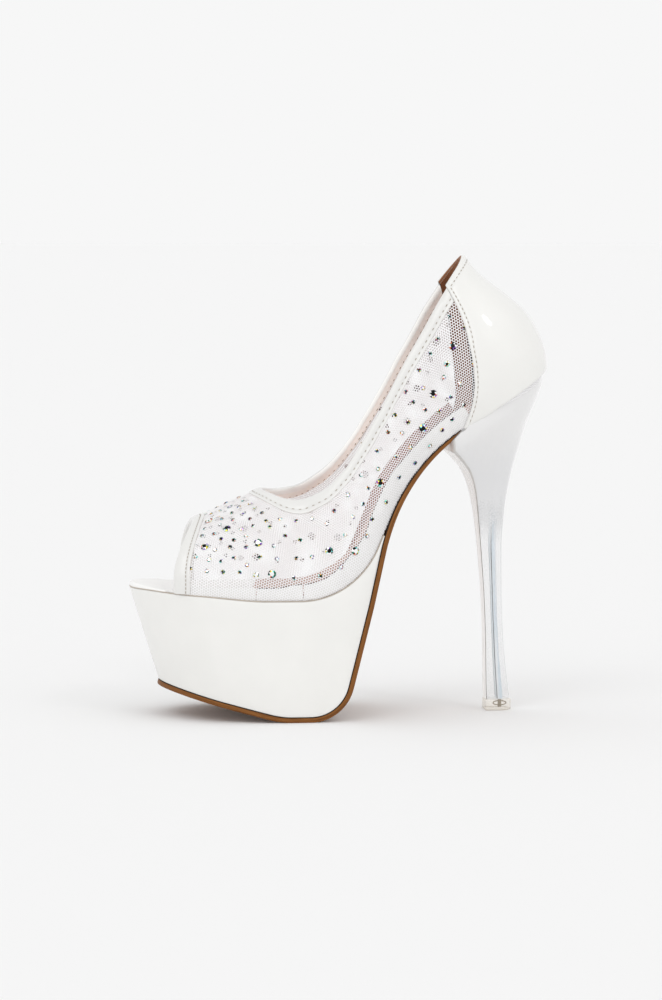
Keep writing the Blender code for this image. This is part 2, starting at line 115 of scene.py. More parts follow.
def travelled(points: Array) -> Array:
    """Distance travelled along a line of points, from zero at the first."""
    return np.concatenate(([0.0], np.cumsum(np.linalg.norm(np.diff(points, axis=0), axis=1))))


@dataclass
class SmoothCurve:
    """A cubic through points that never swings past them, held level beyond its ends.

    Attributes:
        knots: where the values are given, rising.
        values: the value at each knot.
    """

    knots: Array
    values: Array
    slopes: Array = field(init=False)

    def __post_init__(self) -> None:
        """Works out the slope at each knot."""
        grade = np.diff(self.values) / np.diff(self.knots)
        same = grade[:-1] * grade[1:] > 0
        total = np.where(same, grade[:-1] + grade[1:], 1.0)
        self.slopes = np.zeros(len(self.values))
        self.slopes[1:-1] = np.where(same, 2 * grade[:-1] * grade[1:] / total, 0.0)

    def __call__(self, at: Number) -> Array:
        """The curve's value.

        Args:
            at: where to read it, in the knots' unit.

        Returns:
            The values, in the shape of at.
        """
        at = np.clip(at, self.knots[0], self.knots[-1])
        i = np.clip(np.searchsorted(self.knots, at, side="right") - 1, 0, len(self.knots) - 2)
        span = self.knots[i + 1] - self.knots[i]
        t = (at - self.knots[i]) / span
        low = self.values[i] * (1 + 2 * t) + span * t * self.slopes[i]
        high = self.values[i + 1] * (3 - 2 * t) - span * (1 - t) * self.slopes[i + 1]
        return low * (1 - t) ** 2 + high * t**2


@dataclass
class SideProfile:
    """A side profile of straight runs and arcs, read by the distance from its first corner.

    Attributes:
        corners: rows of x, z and rounding radius.
        step: spacing of the points kept along it.
        least_arc: the fewest points of an arc.
    """

    corners: Array
    step: float = 0.5
    least_arc: int = 7
    length: float = field(init=False)
    along: Array = field(init=False)
    x: Array = field(init=False)
    z: Array = field(init=False)
    heading: Array = field(init=False)

    def __post_init__(self) -> None:
        """Lays even points along the rounded corners."""
        corners = self.corners
        points = [corners[:1, :2]]
        for before, corner, after in zip(corners, corners[1:], corners[2:]):
            points.append(self.fillet(before, corner, after))
        points.append(corners[-1:, :2])
        line = np.concatenate(points)
        run = travelled(line)
        self.length = float(run[-1])
        self.along = np.linspace(0, self.length, round(self.length / self.step) + 1)
        self.x = np.interp(self.along, run, line[:, 0])
        self.z = np.interp(self.along, run, line[:, 1])
        self.heading = np.arctan2(np.gradient(self.z), np.gradient(self.x))

    def fillet(self, before: Array, corner: Array, after: Array) -> Array:
        """The arc that rounds one corner.

        Args:
            before: the corner before it.
            corner: the corner to round, as x, z and radius.
            after: the corner after it.

        Returns:
            The arc's points as rows of x and z.
        """
        arriving = unit(corner[:2] - before[:2])
        leaving = unit(after[:2] - corner[:2])
        cross = arriving[0] * leaving[1] - arriving[1] * leaving[0]
        turn = math.atan2(cross, float(arriving @ leaving))
        radius = corner[2]
        start = corner[:2] - radius * math.tan(abs(turn) / 2) * arriving
        inward = math.copysign(1, turn) * np.array((-arriving[1], arriving[0]))
        centre = start + radius * inward
        angles = np.linspace(0, turn, max(self.least_arc, round(radius * abs(turn) / self.step) + 1))
        x, z = start - centre
        arc = (np.cos(angles) * x - np.sin(angles) * z, np.sin(angles) * x + np.cos(angles) * z)
        return centre + np.stack(arc, axis=-1)

    def at(self, along: Number, offset: Number = 0.0) -> tuple[Array, Array]:
        """Points of the profile, moved off to its upper side.

        Args:
            along: distances from the first corner.
            offset: how far to move off.

        Returns:
            The x values and the z values.
        """
        heading = np.interp(along, self.along, self.heading)
        x = np.interp(along, self.along, self.x) - offset * np.sin(heading)
        z = np.interp(along, self.along, self.z) + offset * np.cos(heading)
        return x, z

    def along_at_x(self, x: Number) -> Array:
        """The distance along at which the profile passes an x."""
        return np.interp(x, self.x, self.along)

    def height_at_x(self, x: Number, offset: float = 0.0) -> Array:
        """The height of the profile, moved off to its upper side.

        Args:
            x: where to read it.
            offset: how far to move off.

        Returns:
            The z values.
        """
        moved_x = self.x - offset * np.sin(self.heading)
        moved_z = self.z + offset * np.cos(self.heading)
        return np.interp(x, moved_x, moved_z)


# Share of the length, share of the climb from platform to heel, rounding radius
BED_CORNERS = (
    (-0.4970, 0.0, 0.0), (-0.3710, 0.0, 420.0), (0.0241, 0.0, 42.0), (0.1830, 0.6736, 93.4),
    (0.4890, 1.0, 0.0),
)
# Share of the length, share of the heel's height, rounding radius
TREAD_CORNERS = (
    (-0.4315, 0.0, 0.0), (-0.1530, 0.0, 45.0), (-0.0025, 0.0, 21.0), (0.0694, 0.3383, 200.0),
    (0.1398, 0.7137, 92.0), (0.2875, 0.8408, 0.0),
)
SECTION_COLUMNS = ("along", "lean", "centre", "tread", "girth", "flank", "crest", "outer", "inner")
SECTION_ROWS = (
    (0.000, 0.0, 0.120, 0.750, 0.775, 0.163, 0.531, 0.890, 0.930),
    (0.074, 0.0, 0.095, 0.825, 0.850, 0.184, 0.571, 0.890, 0.930),
    (0.149, 0.0, 0.058, 0.925, 0.950, 0.204, 0.765, 0.890, 0.930),
    (0.260, 0.0, 0.008, 0.988, 1.013, 0.224, 1.000, 0.890, 0.930),
    (0.334, 2.0, -0.025, 0.970, 1.000, 0.224, 1.049, 0.925, 1.005),
    (0.392, 6.0, -0.045, 0.913, 0.958, 0.245, 1.184, 0.957, 1.018),
    (0.442, 11.0, -0.052, 0.825, 0.888, 0.265, 1.286, 0.953, 0.983),
    (0.496, 15.5, -0.055, 0.725, 0.808, 0.286, 1.347, 0.902, 0.912),
    (0.549, 19.0, -0.050, 0.638, 0.745, 0.286, 1.327, 0.820, 0.808),
    (0.620, 23.5, -0.050, 0.563, 0.695, 0.286, 1.300, 0.731, 0.704),
    (0.665, 25.9, -0.046, 0.546, 0.681, 0.289, 1.273, 0.719, 0.688),
    (0.710, 28.0, -0.038, 0.538, 0.675, 0.296, 1.250, 0.755, 0.713),
    (0.805, 31.0, -0.018, 0.575, 0.683, 0.347, 1.230, 0.912, 0.886),
    (0.906, 32.8, 0.000, 0.638, 0.733, 0.408, 1.335, 1.170, 1.170),
    (1.000, 32.8, 0.000, 0.638, 0.733, 0.408, 1.335, 1.400, 1.400),
)


@dataclass
class Last:
    """The form of the foot: sections along the foot bed, and a half-round heel behind the pivot.

    A place on it is a distance along the foot bed, a side, and a rise: -1 at the feather line where
    the upper meets the sole, 0 at the girth and a quarter turn at the top.
    """

    shoe_length: float = 200.0
    platform_height: float = 57.8
    heel_height: float = 159.6
    ball_width: float = 80.0
    instep: float = 49.0
    toe_spring: float = 2.8
    tread_spring: float = 14.2
    toe_round: float = 34.0
    pivot_share: float = 0.906
    heel_reach: float = 22.2
    heel_wrap: float = 38.0
    back_bulge: float = 10.3
    bulge_height: float = 27.0
    bulge_fade: float = 40.0
    bulge_power: float = 0.7
    back_rise: float = 12.3
    normal_step: float = 0.02
    bed: SideProfile = field(init=False)
    tread: SideProfile = field(init=False)
    curves: dict[str, SmoothCurve] = field(init=False)
    pivot: float = field(init=False)
    back: float = field(init=False)
    seat: Array = field(init=False)

    def __post_init__(self) -> None:
        """Lays out the foot bed, the tread and the measures of the sections."""
        spring = np.zeros(len(BED_CORNERS))
        spring[0] = self.toe_spring
        share, climb, radius = np.array(BED_CORNERS).T
        rise = self.platform_height + climb * (self.heel_height - self.platform_height) + spring
        self.bed = SideProfile(np.stack((share * self.shoe_length, rise, radius), axis=-1))
        share, climb, radius = np.array(TREAD_CORNERS).T
        rise = climb * self.heel_height
        rise[0] = self.tread_spring
        self.tread = SideProfile(np.stack((share * self.shoe_length, rise, radius), axis=-1))
        half_ball = self.ball_width / 2
        units = {"along": self.bed.length, "lean": math.radians(1)}
        units.update(dict.fromkeys(("centre", "tread", "girth"), half_ball))
        columns = dict(zip(SECTION_COLUMNS, np.array(SECTION_ROWS).T))
        sizes = {name: column * units.get(name, self.instep) for name, column in columns.items()}
        along = sizes.pop("along")
        self.curves = {name: SmoothCurve(along, column) for name, column in sizes.items()}
        self.pivot = self.pivot_share * self.bed.length
        self.back = self.pivot + self.heel_wrap
        end, start = np.array(self.bed.at(self.bed.length)), np.array(self.bed.at(self.pivot))
        self.seat = unit(end - start)

    def size(self, name: str, along: Number) -> Array:
        """One measure of the sections at distances along the foot bed."""
        return self.curves[name](np.minimum(along, self.pivot))

    def swing(self, along: Number) -> Array:
        """The angle turned round the heel, zero in front of the pivot."""
        return np.maximum(0.0, along - self.pivot) / self.heel_wrap * math.pi / 2

    def narrowing(self, along: Number) -> Array:
        """How far the toe's round end narrows a section, from 0 at the tip to 1."""
        short = 1 - np.clip(np.asarray(along) / self.toe_round, 0.0, 1.0)
        return np.sqrt(1 - short**2)

    def crest(self, along: Number) -> Array:
        """Height at which a section's two sides would close, which climbs round the heel."""
        return self.size("crest", along) + self.back_rise * np.sin(self.swing(along))

    def outline(self, along: Number) -> Array:
        """Half the width of the foot bed's own outline."""
        return self.size("tread", along) * self.narrowing(along)

    def half_and_height(self, along: Array, rise: Array) -> tuple[Array, Array]:
        """Half the width and the height of places on the last.

        Args:
            along: distances along the foot bed.
            rise: rises there.

        Returns:
            The half widths and the heights over the foot bed.
        """
        girth = self.size("girth", along)
        flank = self.size("flank", along)
        tuck = girth - self.size("tread", along)
        dome = self.crest(along) - flank
        below = rise < 0
        half = np.where(below, girth - tuck * rise**2, girth * np.cos(rise))
        height = np.where(below, flank * (1 + rise), flank + dome * np.sin(rise))
        return half, height

    def rise_at(self, along: Number, height: Number) -> Array:
        """The rise at which sections reach a height.

        Args:
            along: distances along the foot bed.
            height: heights over it.

        Returns:
            The rises.
        """
        flank = self.size("flank", along)
        dome = self.crest(along) - flank
        above = np.arcsin(np.clip((height - flank) / dome, 0.0, 1.0))
        return np.where(height < flank, height / flank - 1, above)

    def bulge(self, height: Array) -> Array:
        """How far the back of the heel swells behind the seat.

        Args:
            height: heights over the foot bed.

        Returns:
            The swell there.
        """
        short = (self.bulge_height - height) / self.bulge_height
        low = np.maximum(0.0, 1 - short**2) ** self.bulge_power
        fade = np.clip((height - self.bulge_height) / self.bulge_fade, 0.0, 1.0)
        high = 0.5 + 0.5 * np.cos(math.pi * fade)
        return self.back_bulge * np.where(height < self.bulge_height, low, high)

    def point(self, along: Number, side: Side, rise: Number) -> Array:
        """Points of the last's surface.

        Args:
            along: distances along the foot bed.
            side: the side of the foot.
            rise: rises there.

        Returns:
            The points, with x, y and z last.
        """
        along, rise = np.broadcast_arrays(np.asarray(along, float), np.asarray(rise, float))
        half, height = self.half_and_height(along, rise)
        swing = self.swing(along)
        lean = self.size("lean", along)
        x, z = self.bed.at(np.minimum(along, self.pivot))
        back = np.sin(swing) * (self.heel_reach + self.bulge(height))
        x = x + back * self.seat[0] - height * np.sin(lean)
        z = z + back * self.seat[1] + height * np.cos(lean)
        y = self.size("centre", along) + side.value * half * self.narrowing(along) * np.cos(swing)
        return np.stack((x, y, z), axis=-1)

    def normal(self, along: Number, side: Side, rise: Number) -> Array:
        """The directions out of the last's surface.

        Args:
            along: distances along the foot bed.
            side: the side of the foot.
            rise: rises there.

        Returns:
            The directions, at length one.
        """
        step = self.normal_step
        ahead = self.point(along + step, side, rise) - self.point(along - step, side, rise)
        up = self.point(along, side, rise + step) - self.point(along, side, rise - step)
        return -side.value * unit(np.cross(ahead, up))

    def off(self, along: Number, side: Side, rise: Number, offset: Number) -> Array:
        """Points at an offset from the last's surface.

        Args:
            along: distances along the foot bed.
            side: the side of the foot.
            rise: rises there.
            offset: how far off they lie, outward where it is positive.

        Returns:
            The points.
        """
        along, rise = np.broadcast_arrays(np.asarray(along, float), np.asarray(rise, float))
        away = np.asarray(offset, float)[..., None]
        return self.point(along, side, rise) + away * self.normal(along, side, rise)


@dataclass
class CutLines:
    """The lines along which the upper and its overlays are cut on the last."""

    last: Last
    throat: float = 63.0
    throat_length: float = 20.0
    toe_foot: float = 19.7
    toe_top: float = 30.8
    toe_skew: float = 7.0
    toe_power: float = 1.4
    collar_lift_outer: float = 1.0
    collar_lift_inner: float = 1.6
    counter_start: float = 195.4
    counter_sweep: float = 31.6
    counter_curve: float = 23.5
    counter_bow: float = 1.9
    bow_skew: float = 0.6
    corner_back_outer: float = 1.6
    corner_back_inner: float = 3.0
    seat_from_x: float = 68.0
    seat_back_x: float = 99.0
    seat_climb: float = 3.8
    edge_power: int = 4
    corner_columns: int = 40
    quarter_columns: int = 110

    def topline(self, along: Number, side: Side) -> Array:
        """Height of the topline over the foot bed."""
        name = "inner" if side is Side.INNER else "outer"
        return self.last.size(name, along) + self.last.back_rise * np.sin(self.last.swing(along))

    def top_rise(self, along: Number, side: Side, drop: Number = 0.0) -> Array:
        """The rise of a line below the topline, rounded in to meet its other side at the throat.

        Args:
            along: distances along the foot bed.
            side: the side of the foot.
            drop: how far the line lies below the topline.

        Returns:
            The rises.
        """
        rise = self.last.rise_at(along, self.topline(along, side) - drop)
        ahead = 1 - (along - self.throat + drop) / (self.throat_length + drop)
        open_share = np.sqrt(1 - np.clip(ahead, 0.0, 1.0) ** 2)
        return np.arccos(np.clip(np.cos(rise) * open_share, -1.0, 1.0))

    def topline_stations(self, drop: float, end: float) -> Array:
        """Distances that step evenly round the throat's corner, then along the quarter.

        Args:
            drop: how far the line lies below the topline.
            end: where it ends.

        Returns:
            The distances along the foot bed.
        """
        start = self.throat - drop
        length = self.throat_length + drop
        turns = np.linspace(0, math.pi / 2, self.corner_columns, endpoint=False)
        corner = start + length * (1 - np.cos(turns))
        return np.concatenate((corner, np.linspace(start + length, end, self.quarter_columns + 1)))

    def toe_edge(self, side: Side, rise: Number) -> Array:
        """Where the toe opening's edge lies, further back on the inner side."""
        foot = self.toe_foot + (self.toe_skew if side is Side.INNER else 0.0)
        return self.toe_top - (self.toe_top - foot) * np.cos(np.maximum(rise, 0.0)) ** self.toe_power

    def collar(self, along: Array, side: Side, shares: Array) -> Array:
        """Heights of the collar, which stands above the topline in front and joins it behind.

        Args:
            along: distances along the foot bed.
            side: the side of the foot.
            shares: shares of the height to the topline.

        Returns:
            The heights over the foot bed.
        """
        lift = self.collar_lift_inner if side is Side.INNER else self.collar_lift_outer
        rise = lift * (np.cos(self.last.swing(along)) * np.maximum(shares, 0.0)) ** self.edge_power
        return shares * self.topline(along, side) + rise

    def counter_edge(self, share: Number, side: Side = Side.OUTER) -> Array:
        """Where the counter's front edge lies at a share of the height to the topline.

        Args:
            share: the share of the height.
            side: the side of the foot.

        Returns:
            Distances along the foot bed.
        """
        height = share * self.last.size("outer", self.last.pivot)
        sweep = self.counter_sweep * (1 - np.exp(-height / self.counter_curve))
        bow = self.counter_bow * np.sin(math.pi * np.clip(share, 0.0, 1.0) ** self.bow_skew)
        corner = self.corner_back_inner if side is Side.INNER else self.corner_back_outer
        return self.counter_start + sweep - bow + corner * np.maximum(share, 0.0) ** self.edge_power

    def seat_line(self, x: Array) -> Array:
        """How far the seam between heel and counter climbs above the foot bed towards the back."""
        share = (x - self.seat_from_x) / (self.seat_back_x - self.seat_from_x)
        return self.seat_climb * np.clip(share, 0.0, 1.0)


@dataclass(frozen=True)
class Viewpoint:
    """Where the shoe is seen from, with its image measured in pixels."""

    azimuth: float = -6.5
    elevation: float = 4.6
    distance: float = 1600.0
    target: Triple = (-3.1, 0.0, 101.9)
    focal_px: float = 3347.0
    width_px: int = 662
    height_px: int = 1000
    sensor: float = 24.0
    clip_end: float = 100.0

    def axes(self) -> Array:
        """The view's own directions.

        Returns:
            Right, up and backward, as rows.
        """
        turn, tip = math.radians(self.azimuth), math.radians(self.elevation)
        level = math.cos(tip)
        back = np.array((level * math.sin(turn), -level * math.cos(turn), math.sin(tip)))
        right = unit(np.cross((0.0, 0.0, 1.0), back))
        return np.stack((right, np.cross(back, right), back))

    def eye(self) -> Array:
        """The camera's place."""
        return np.array(self.target) + self.distance * self.axes()[2]

    def project(self, points: Array) -> Array:
        """Pixels of points.

        Args:
            points: places in the shoe's frame.

        Returns:
            Their pixels, from the image's top left corner.
        """
        right, up, back = np.moveaxis((points - self.eye()) @ self.axes().T, -1, 0)
        x = self.width_px / 2 - self.focal_px * right / back
        y = self.height_px / 2 + self.focal_px * up / back
        return np.stack((x, y), axis=-1)

    def make_camera(self) -> None:
        """Adds the camera and makes it the scene's own."""
        data = bpy.data.cameras.new("camera")
        data.sensor_width = self.sensor
        data.lens = self.focal_px / self.height_px * self.sensor
        data.clip_end = self.clip_end
        camera = bpy.data.objects.new("camera", data)
        rows = np.eye(4)
        rows[:3, :3] = self.axes().T
        rows[:3, 3] = self.eye() * METRES_PER_MM
        camera.matrix_world = Matrix(rows.tolist())
        bpy.context.scene.collection.objects.link(camera)
        bpy.context.scene.camera = camera


class Piece:
    """Gathers patches of points and turns them into one mesh that rides with the shoe."""

    def __init__(self, name: str) -> None:
        """Starts an empty piece.

        Args:
            name: its name.
        """
        self.name = name
        self.points: list[Array] = []
        self.faces: list[tuple[int, ...]] = []
        self.marks: list[int] = []
        self.places: list[Array] = []
        self.tints: list[Array] = []
        self.count = 0

    def take(self, points: Array, places: Array | None) -> int:
        """Keeps points and their texture places.

        Args:
            points: the points.
            places: their texture places, or None.

        Returns:
            The number of the first point.
        """
        first = self.count
        self.points.append(points)
        self.places.append(np.zeros((len(points), 2)) if places is None else places)
        self.count += len(points)
        return first

    def patch(
        self,
        grid: Array,
        marks: int | Sequence[int] = 0,
        ring: bool = False,
        places: Array | None = None,
    ) -> None:
        """Adds a sheet of four-sided faces.

        Args:
            grid: points in columns of rows.
            marks: the finish of every face, or of each strip between two rows.
            ring: whether each column closes on itself.
            places: texture places of the points, in millimetres.
        """
        columns, rows = grid.shape[:2]
        flat = None if places is None else places.reshape(-1, 2)
        first = self.take(grid.reshape(-1, 3), flat)
        strips = rows if ring else rows - 1
        row_marks = [marks] * strips if isinstance(marks, int) else list(marks)
        for column in range(columns - 1):
            here = first + column * rows
            for row in range(strips):
                above = (row + 1) % rows
                self.faces.append((here + row, here + rows + row, here + rows + above, here + above))
                self.marks.append(row_marks[row])

    def cap(self, ring: Array, mark: int = 0) -> None:
        """Closes a ring of points with a fan round its middle.

        Args:
            ring: the points.
            mark: the finish of its faces.
        """
        first = self.take(np.concatenate((ring, ring.mean(axis=0, keepdims=True))), None)
        count = len(ring)
        for i in range(count):
            self.faces.append((first + i, first + (i + 1) % count, first + count))
            self.marks.append(mark)

    def stamp(
        self,
        form: Array,
        faces: Sequence[tuple[int, ...]],
        origins: Array,
        frames: Array,
        tints: Array | None = None,
    ) -> None:
        """Adds copies of a small form.

        Args:
            form: the form's points.
            faces: its faces.
            origins: where the copies stand.
            frames: their three axes, as rows, at their own scale.
            tints: a colour for each face of each copy.
        """
        for i, (origin, frame) in enumerate(zip(origins, frames)):
            first = self.take(origin + form @ frame, None)
            self.faces.extend(tuple(first + corner for corner in face) for face in faces)
            self.marks.extend([0] * len(faces))
            if tints is not None:
                self.tints.append(tints[i])

    def build(
        self,
        finishes: Sequence[Material],
        replaces: str | None = None,
        slot: Slot | None = None,
        sharp: float | None = 40.0,
        weld: bool = True,
    ) -> Object:
        """Makes the mesh and lets it ride with the shoe.

        Args:
            finishes: the materials that the faces' marks number.
            replaces: the solid that this piece stands for.
            slot: the record's slot for the solid; it is not used.
            sharp: the angle in degrees from which edges stay sharp, or None for flat faces.
            weld: whether points that meet become one.

        Returns:
            The new object.
        """
        mesh = bpy.data.meshes.new(self.name)
        points = np.concatenate(self.points) * METRES_PER_MM
        mesh.from_pydata(points.tolist(), [], self.faces)
        mesh.polygons.foreach_set("material_index", np.array(self.marks, np.int32))
        corners = np.zeros(len(mesh.loops), np.int32)
        mesh.loops.foreach_get("vertex_index", corners)
        layer = mesh.uv_layers.new(name="millimetres")
        layer.data.foreach_set("uv", np.concatenate(self.places)[corners].astype(np.float32).ravel())
        if self.tints:
            self.paint(mesh)
        if weld:
            self.weld(mesh)
        if sharp is not None:
            mesh.shade_smooth()
            mesh.set_sharp_from_angle(angle=math.radians(sharp))
        for finish in finishes:
            mesh.materials.append(finish)
        piece = bpy.data.objects.new(self.name, mesh)
        bpy.context.scene.collection.objects.link(piece)
        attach(piece, BODY)
        if replaces:
            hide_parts(replaces)
        LOG.info("%s: %d faces", self.name, len(mesh.polygons))
        return piece

    def paint(self, mesh: Mesh) -> None:
        """Stores each face's colour on its corners.

        Args:
            mesh: the piece's mesh.
        """
        totals = np.zeros(len(mesh.polygons), np.int32)
        mesh.polygons.foreach_get("loop_total", totals)
        colours = np.concatenate(self.tints)
        colours = np.concatenate((colours, np.ones((len(colours), 1))), axis=1)
        layer = mesh.color_attributes.new("facet", "FLOAT_COLOR", "CORNER")
        layer.data.foreach_set("color", np.repeat(colours, totals, axis=0).astype(np.float32).ravel())

    @staticmethod
    def weld(mesh: Mesh, distance: float = WELD_METRES) -> None:
        """Joins points that meet and turns faces outward alike.

        Args:
            mesh: the piece's mesh.
            distance: how near the points lie, in metres.
        """
        work = bmesh.new()
        work.from_mesh(mesh)
        bmesh.ops.remove_doubles(work, verts=work.verts, dist=distance)
        bmesh.ops.recalc_face_normals(work, faces=work.faces)
        work.to_mesh(mesh)
        work.free()


@dataclass
class Finish:
    """A finish whose material is mixed as soon as it is made, with shorthand for its nodes."""

    name: str
    material: Material = field(init=False)
    shader: Node = field(init=False)

    def __post_init__(self) -> None:
        """Starts the material with its one shader, and mixes it."""
        self.material = bpy.data.materials.new(self.name)
        self.material.use_nodes = True
        self.shader = self.material.node_tree.nodes["Principled BSDF"]
        self.mix()

    def mix(self) -> None:
        """Joins the nodes, in the way of each kind of finish."""
        raise NotImplementedError

    def fill(self, node: Node, inputs: dict[str | int, Value]) -> None:
        """Sets a node's inputs, or joins them to sockets.

        Args:
            node: the node.
            inputs: numbers, colours or sockets, by the input's name or number.
        """
        for name, value in inputs.items():
            entry = node.inputs[name]
            if isinstance(value, NodeSocket):
                self.material.node_tree.links.new(value, entry)
            else:
                entry.default_value = (*value, 1.0) if entry.type == "RGBA" else value

    def node(self, kind: str, inputs: dict[str | int, Value], **settings: str) -> Node:
        """Adds a node.

        Args:
            kind: its kind.
            inputs: numbers, colours or sockets, by the input's name or number.
            settings: its properties.

        Returns:
            The new node.
        """
        node = self.material.node_tree.nodes.new(kind)
        for name, value in settings.items():
            setattr(node, name, value)
        self.fill(node, inputs)
        return node

    def set(self, **values: Value) -> None:
        """Sets or joins the shader's own inputs, named in lower case with underscores."""
        numbers = {entry.name.lower().replace(" ", "_"): i for i, entry in enumerate(self.shader.inputs)}
        self.fill(self.shader, {numbers[name]: value for name, value in values.items()})

    def place(self, stretch: Triple = (1.0, 1.0, 1.0), uv: bool = False) -> NodeSocket:
        """Stretched texture places: the piece's own in millimetres, or its points in metres."""
        source = self.node("ShaderNodeTexCoord", {}).outputs["UV" if uv else "Object"]
        return self.node("ShaderNodeMapping", {"Vector": source, "Scale": stretch}).outputs["Vector"]

    def noise(self, place: NodeSocket, scale: float, detail: float = 2.0) -> NodeSocket:
        """Smooth noise from 0 to 1, read at a place."""
        inputs = {"Vector": place, "Scale": scale, "Detail": detail}
        return self.node("ShaderNodeTexNoise", inputs).outputs["Fac"]

    def math(self, operation: str, first: Value, second: Value = 0.0) -> NodeSocket:
        """One step of arithmetic on sockets or numbers."""
        return self.node("ShaderNodeMath", {0: first, 1: second}, operation=operation).outputs["Value"]

    def fade(
        self, value: NodeSocket, span: Limits, into: Limits = (0.0, 1.0), about: float = 0.0
    ) -> NodeSocket:
        """A smooth step.

        Args:
            value: the socket that drives it.
            span: the values between which it steps.
            into: the results at both ends.
            about: what is added to both.

        Returns:
            The socket with the result.
        """
        inputs = {"Value": value, "From Min": span[0], "From Max": span[1]}
        inputs.update({"To Min": about + into[0], "To Max": about + into[1]})
        return self.node("ShaderNodeMapRange", inputs, interpolation_type="SMOOTHSTEP").outputs["Result"]

    def ramp(self, value: NodeSocket, stops: Sequence[tuple[float, Colour]]) -> NodeSocket:
        """Colours along a value.

        Args:
            value: the socket that picks the colour.
            stops: places from 0 to 1 and their colours.

        Returns:
            The socket with the colour.
        """
        node = self.node("ShaderNodeValToRGB", {"Fac": value})
        elements = node.color_ramp.elements
        while len(elements) < len(stops):
            elements.new(0.5)
        for element, (place, colour) in zip(elements, stops):
            element.position = place
            element.color = (*colour, 1.0)
        return node.outputs["Color"]

    def tones(self, value: NodeSocket, colour: Colour, span: Limits, factors: Limits) -> NodeSocket:
        """Two tones of one colour at the ends of a span of a value."""
        return self.ramp(value, [(at, shade(colour, factor)) for at, factor in zip(span, factors)])

    def bump(self, height: NodeSocket, depth: float, strength: float = 1.0) -> None:
        """Gives the surface a relief, with its depth in metres."""
        inputs = {"Height": height, "Distance": depth, "Strength": strength}
        self.set(normal=self.node("ShaderNodeBump", inputs).outputs["Normal"])

    def split(self, place: NodeSocket) -> list[NodeSocket]:
        """The three numbers of a place."""
        return self.node("ShaderNodeSeparateXYZ", {0: place}).outputs[:]

    def slant(self) -> NodeSocket:
        """How far the surface turns from the view, from 0 face on to 1."""
        return self.node("ShaderNodeLayerWeight", {"Blend": 0.5}).outputs["Facing"]


def shade(colour: Colour, factor: float) -> Colour:
    """A colour made lighter or darker."""
    return tuple(min(1.0, channel * factor) for channel in colour)


NOISE_SPAN: Limits = (0.3, 0.7)
SLANT_SPAN: Limits = (0.55, 0.98)
VEINS: Triple = (1.0, 1.0, 0.03)
VEIN_SCALE = 500.0
MOULD_LINES: Triple = (1.0, 1.0, 0.05)
MOULD_SCALE = 420.0


@dataclass
class PatentLeather(Finish):
    """Glossy coated leather with a faint orange peel and long soft waves."""

    colour: Colour
    roughness: float = 0.38
    coat: float = 0.7
    wave_scale: float = 55.0
    wave_depth: float = 0.0006
    smudge_finer: float = 2.3
    peel_scale: float = 900.0
    peel_share: float = 0.03

    def mix(self) -> None:
        """Joins the nodes."""
        place = self.place()
        cloud = self.noise(place, self.wave_scale, detail=3.0)
        smudge = self.noise(place, self.wave_scale * self.smudge_finer, detail=4.0)
        peel = self.math("MULTIPLY", self.noise(place, self.peel_scale, detail=1.0), self.peel_share)
        self.bump(self.math("ADD", cloud, peel), self.wave_depth, strength=0.6)
        self.set(
            base_color=self.tones(cloud, self.colour, NOISE_SPAN, factors=(0.985, 1.01)),
            roughness=self.fade(smudge, span=(0.3, 0.75), into=(-0.05, 0.07), about=self.roughness),
            coat_weight=self.coat, coat_roughness=0.05, coat_ior=1.5,
        )


@dataclass
class LiningLeather(Finish):
    """Soft matt leather with a fine pebbled grain."""

    colour: Colour
    roughness: float = 0.62
    cloud_scale: float = 90.0
    grain_scale: float = 1500.0
    grain_depth: float = 0.00015
    # Emission where it is set: painted light on leather that lies in shade, which is no lamp.
    painted_glow: float = 0.0
    specular: float = 0.5
    sheen: float = 0.08

    def mix(self) -> None:
        """Joins the nodes."""
        place = self.place()
        cloud = self.noise(place, self.cloud_scale, detail=4.0)
        grain = self.noise(place, self.grain_scale)
        self.bump(grain, self.grain_depth)
        self.set(
            base_color=self.tones(cloud, self.colour, NOISE_SPAN, factors=(0.93, 1.05)),
            roughness=self.fade(grain, span=(0.2, 0.8), into=(-0.06, 0.08), about=self.roughness),
            sheen_weight=self.sheen, specular_ior_level=self.specular,
            emission_color=self.colour, emission_strength=self.painted_glow,
        )


@dataclass
class NetCloth(Finish):
    """Sheer net: threads round six-sided holes, cut out of the sheet by its own places in millimetres, with
    painted shade at the holes' rims and painted light from emission.
    """

    colour: Colour
    pitch: float = 1.25
    hole: float = -0.42
    edge: float = 0.2
    # Emission: painted light on the net, which is no lamp.
    painted_glow: float = 0.16
    twist_scale: float = 2600.0
    twist_share: float = 0.3
    thread_middle: float = -1.5
    thread_share: float = 0.8

    def mix(self) -> None:
        """Joins the nodes."""
        turn = 2 * math.pi / (self.pitch * math.sqrt(3) / 2)
        across, up, _ = self.split(self.place((turn, turn, 1.0), uv=True))
        half = self.math("MULTIPLY", across, 0.5)
        rise = self.math("MULTIPLY", up, math.sqrt(3) / 2)
        weave = self.math("COSINE", across)
        for slanted in (self.math("ADD", half, rise), self.math("SUBTRACT", half, rise)):
            weave = self.math("ADD", weave, self.math("COSINE", slanted))
        twist = self.math("MULTIPLY", self.noise(self.place(), self.twist_scale), self.twist_share)
        # Painted shade: the threads darken towards the holes' rims, mixed with a random twist tone.
        thread_rim_shade = self.fade(weave, (self.thread_middle, self.hole), into=(0.0, self.thread_share))
        turned = self.math("ADD", twist, thread_rim_shade)
        rim = self.edge / 2
        self.bump(self.math("MULTIPLY", weave, -0.5), depth=0.0002, strength=0.5)
        self.set(
            base_color=self.tones(turned, self.colour, span=(0.1, 1.0), factors=(1.05, 0.74)),
            alpha=self.fade(weave, (self.hole - rim, self.hole + rim), into=(1.0, 0.0)),
            roughness=0.6, emission_color=self.colour, emission_strength=self.painted_glow,
        )


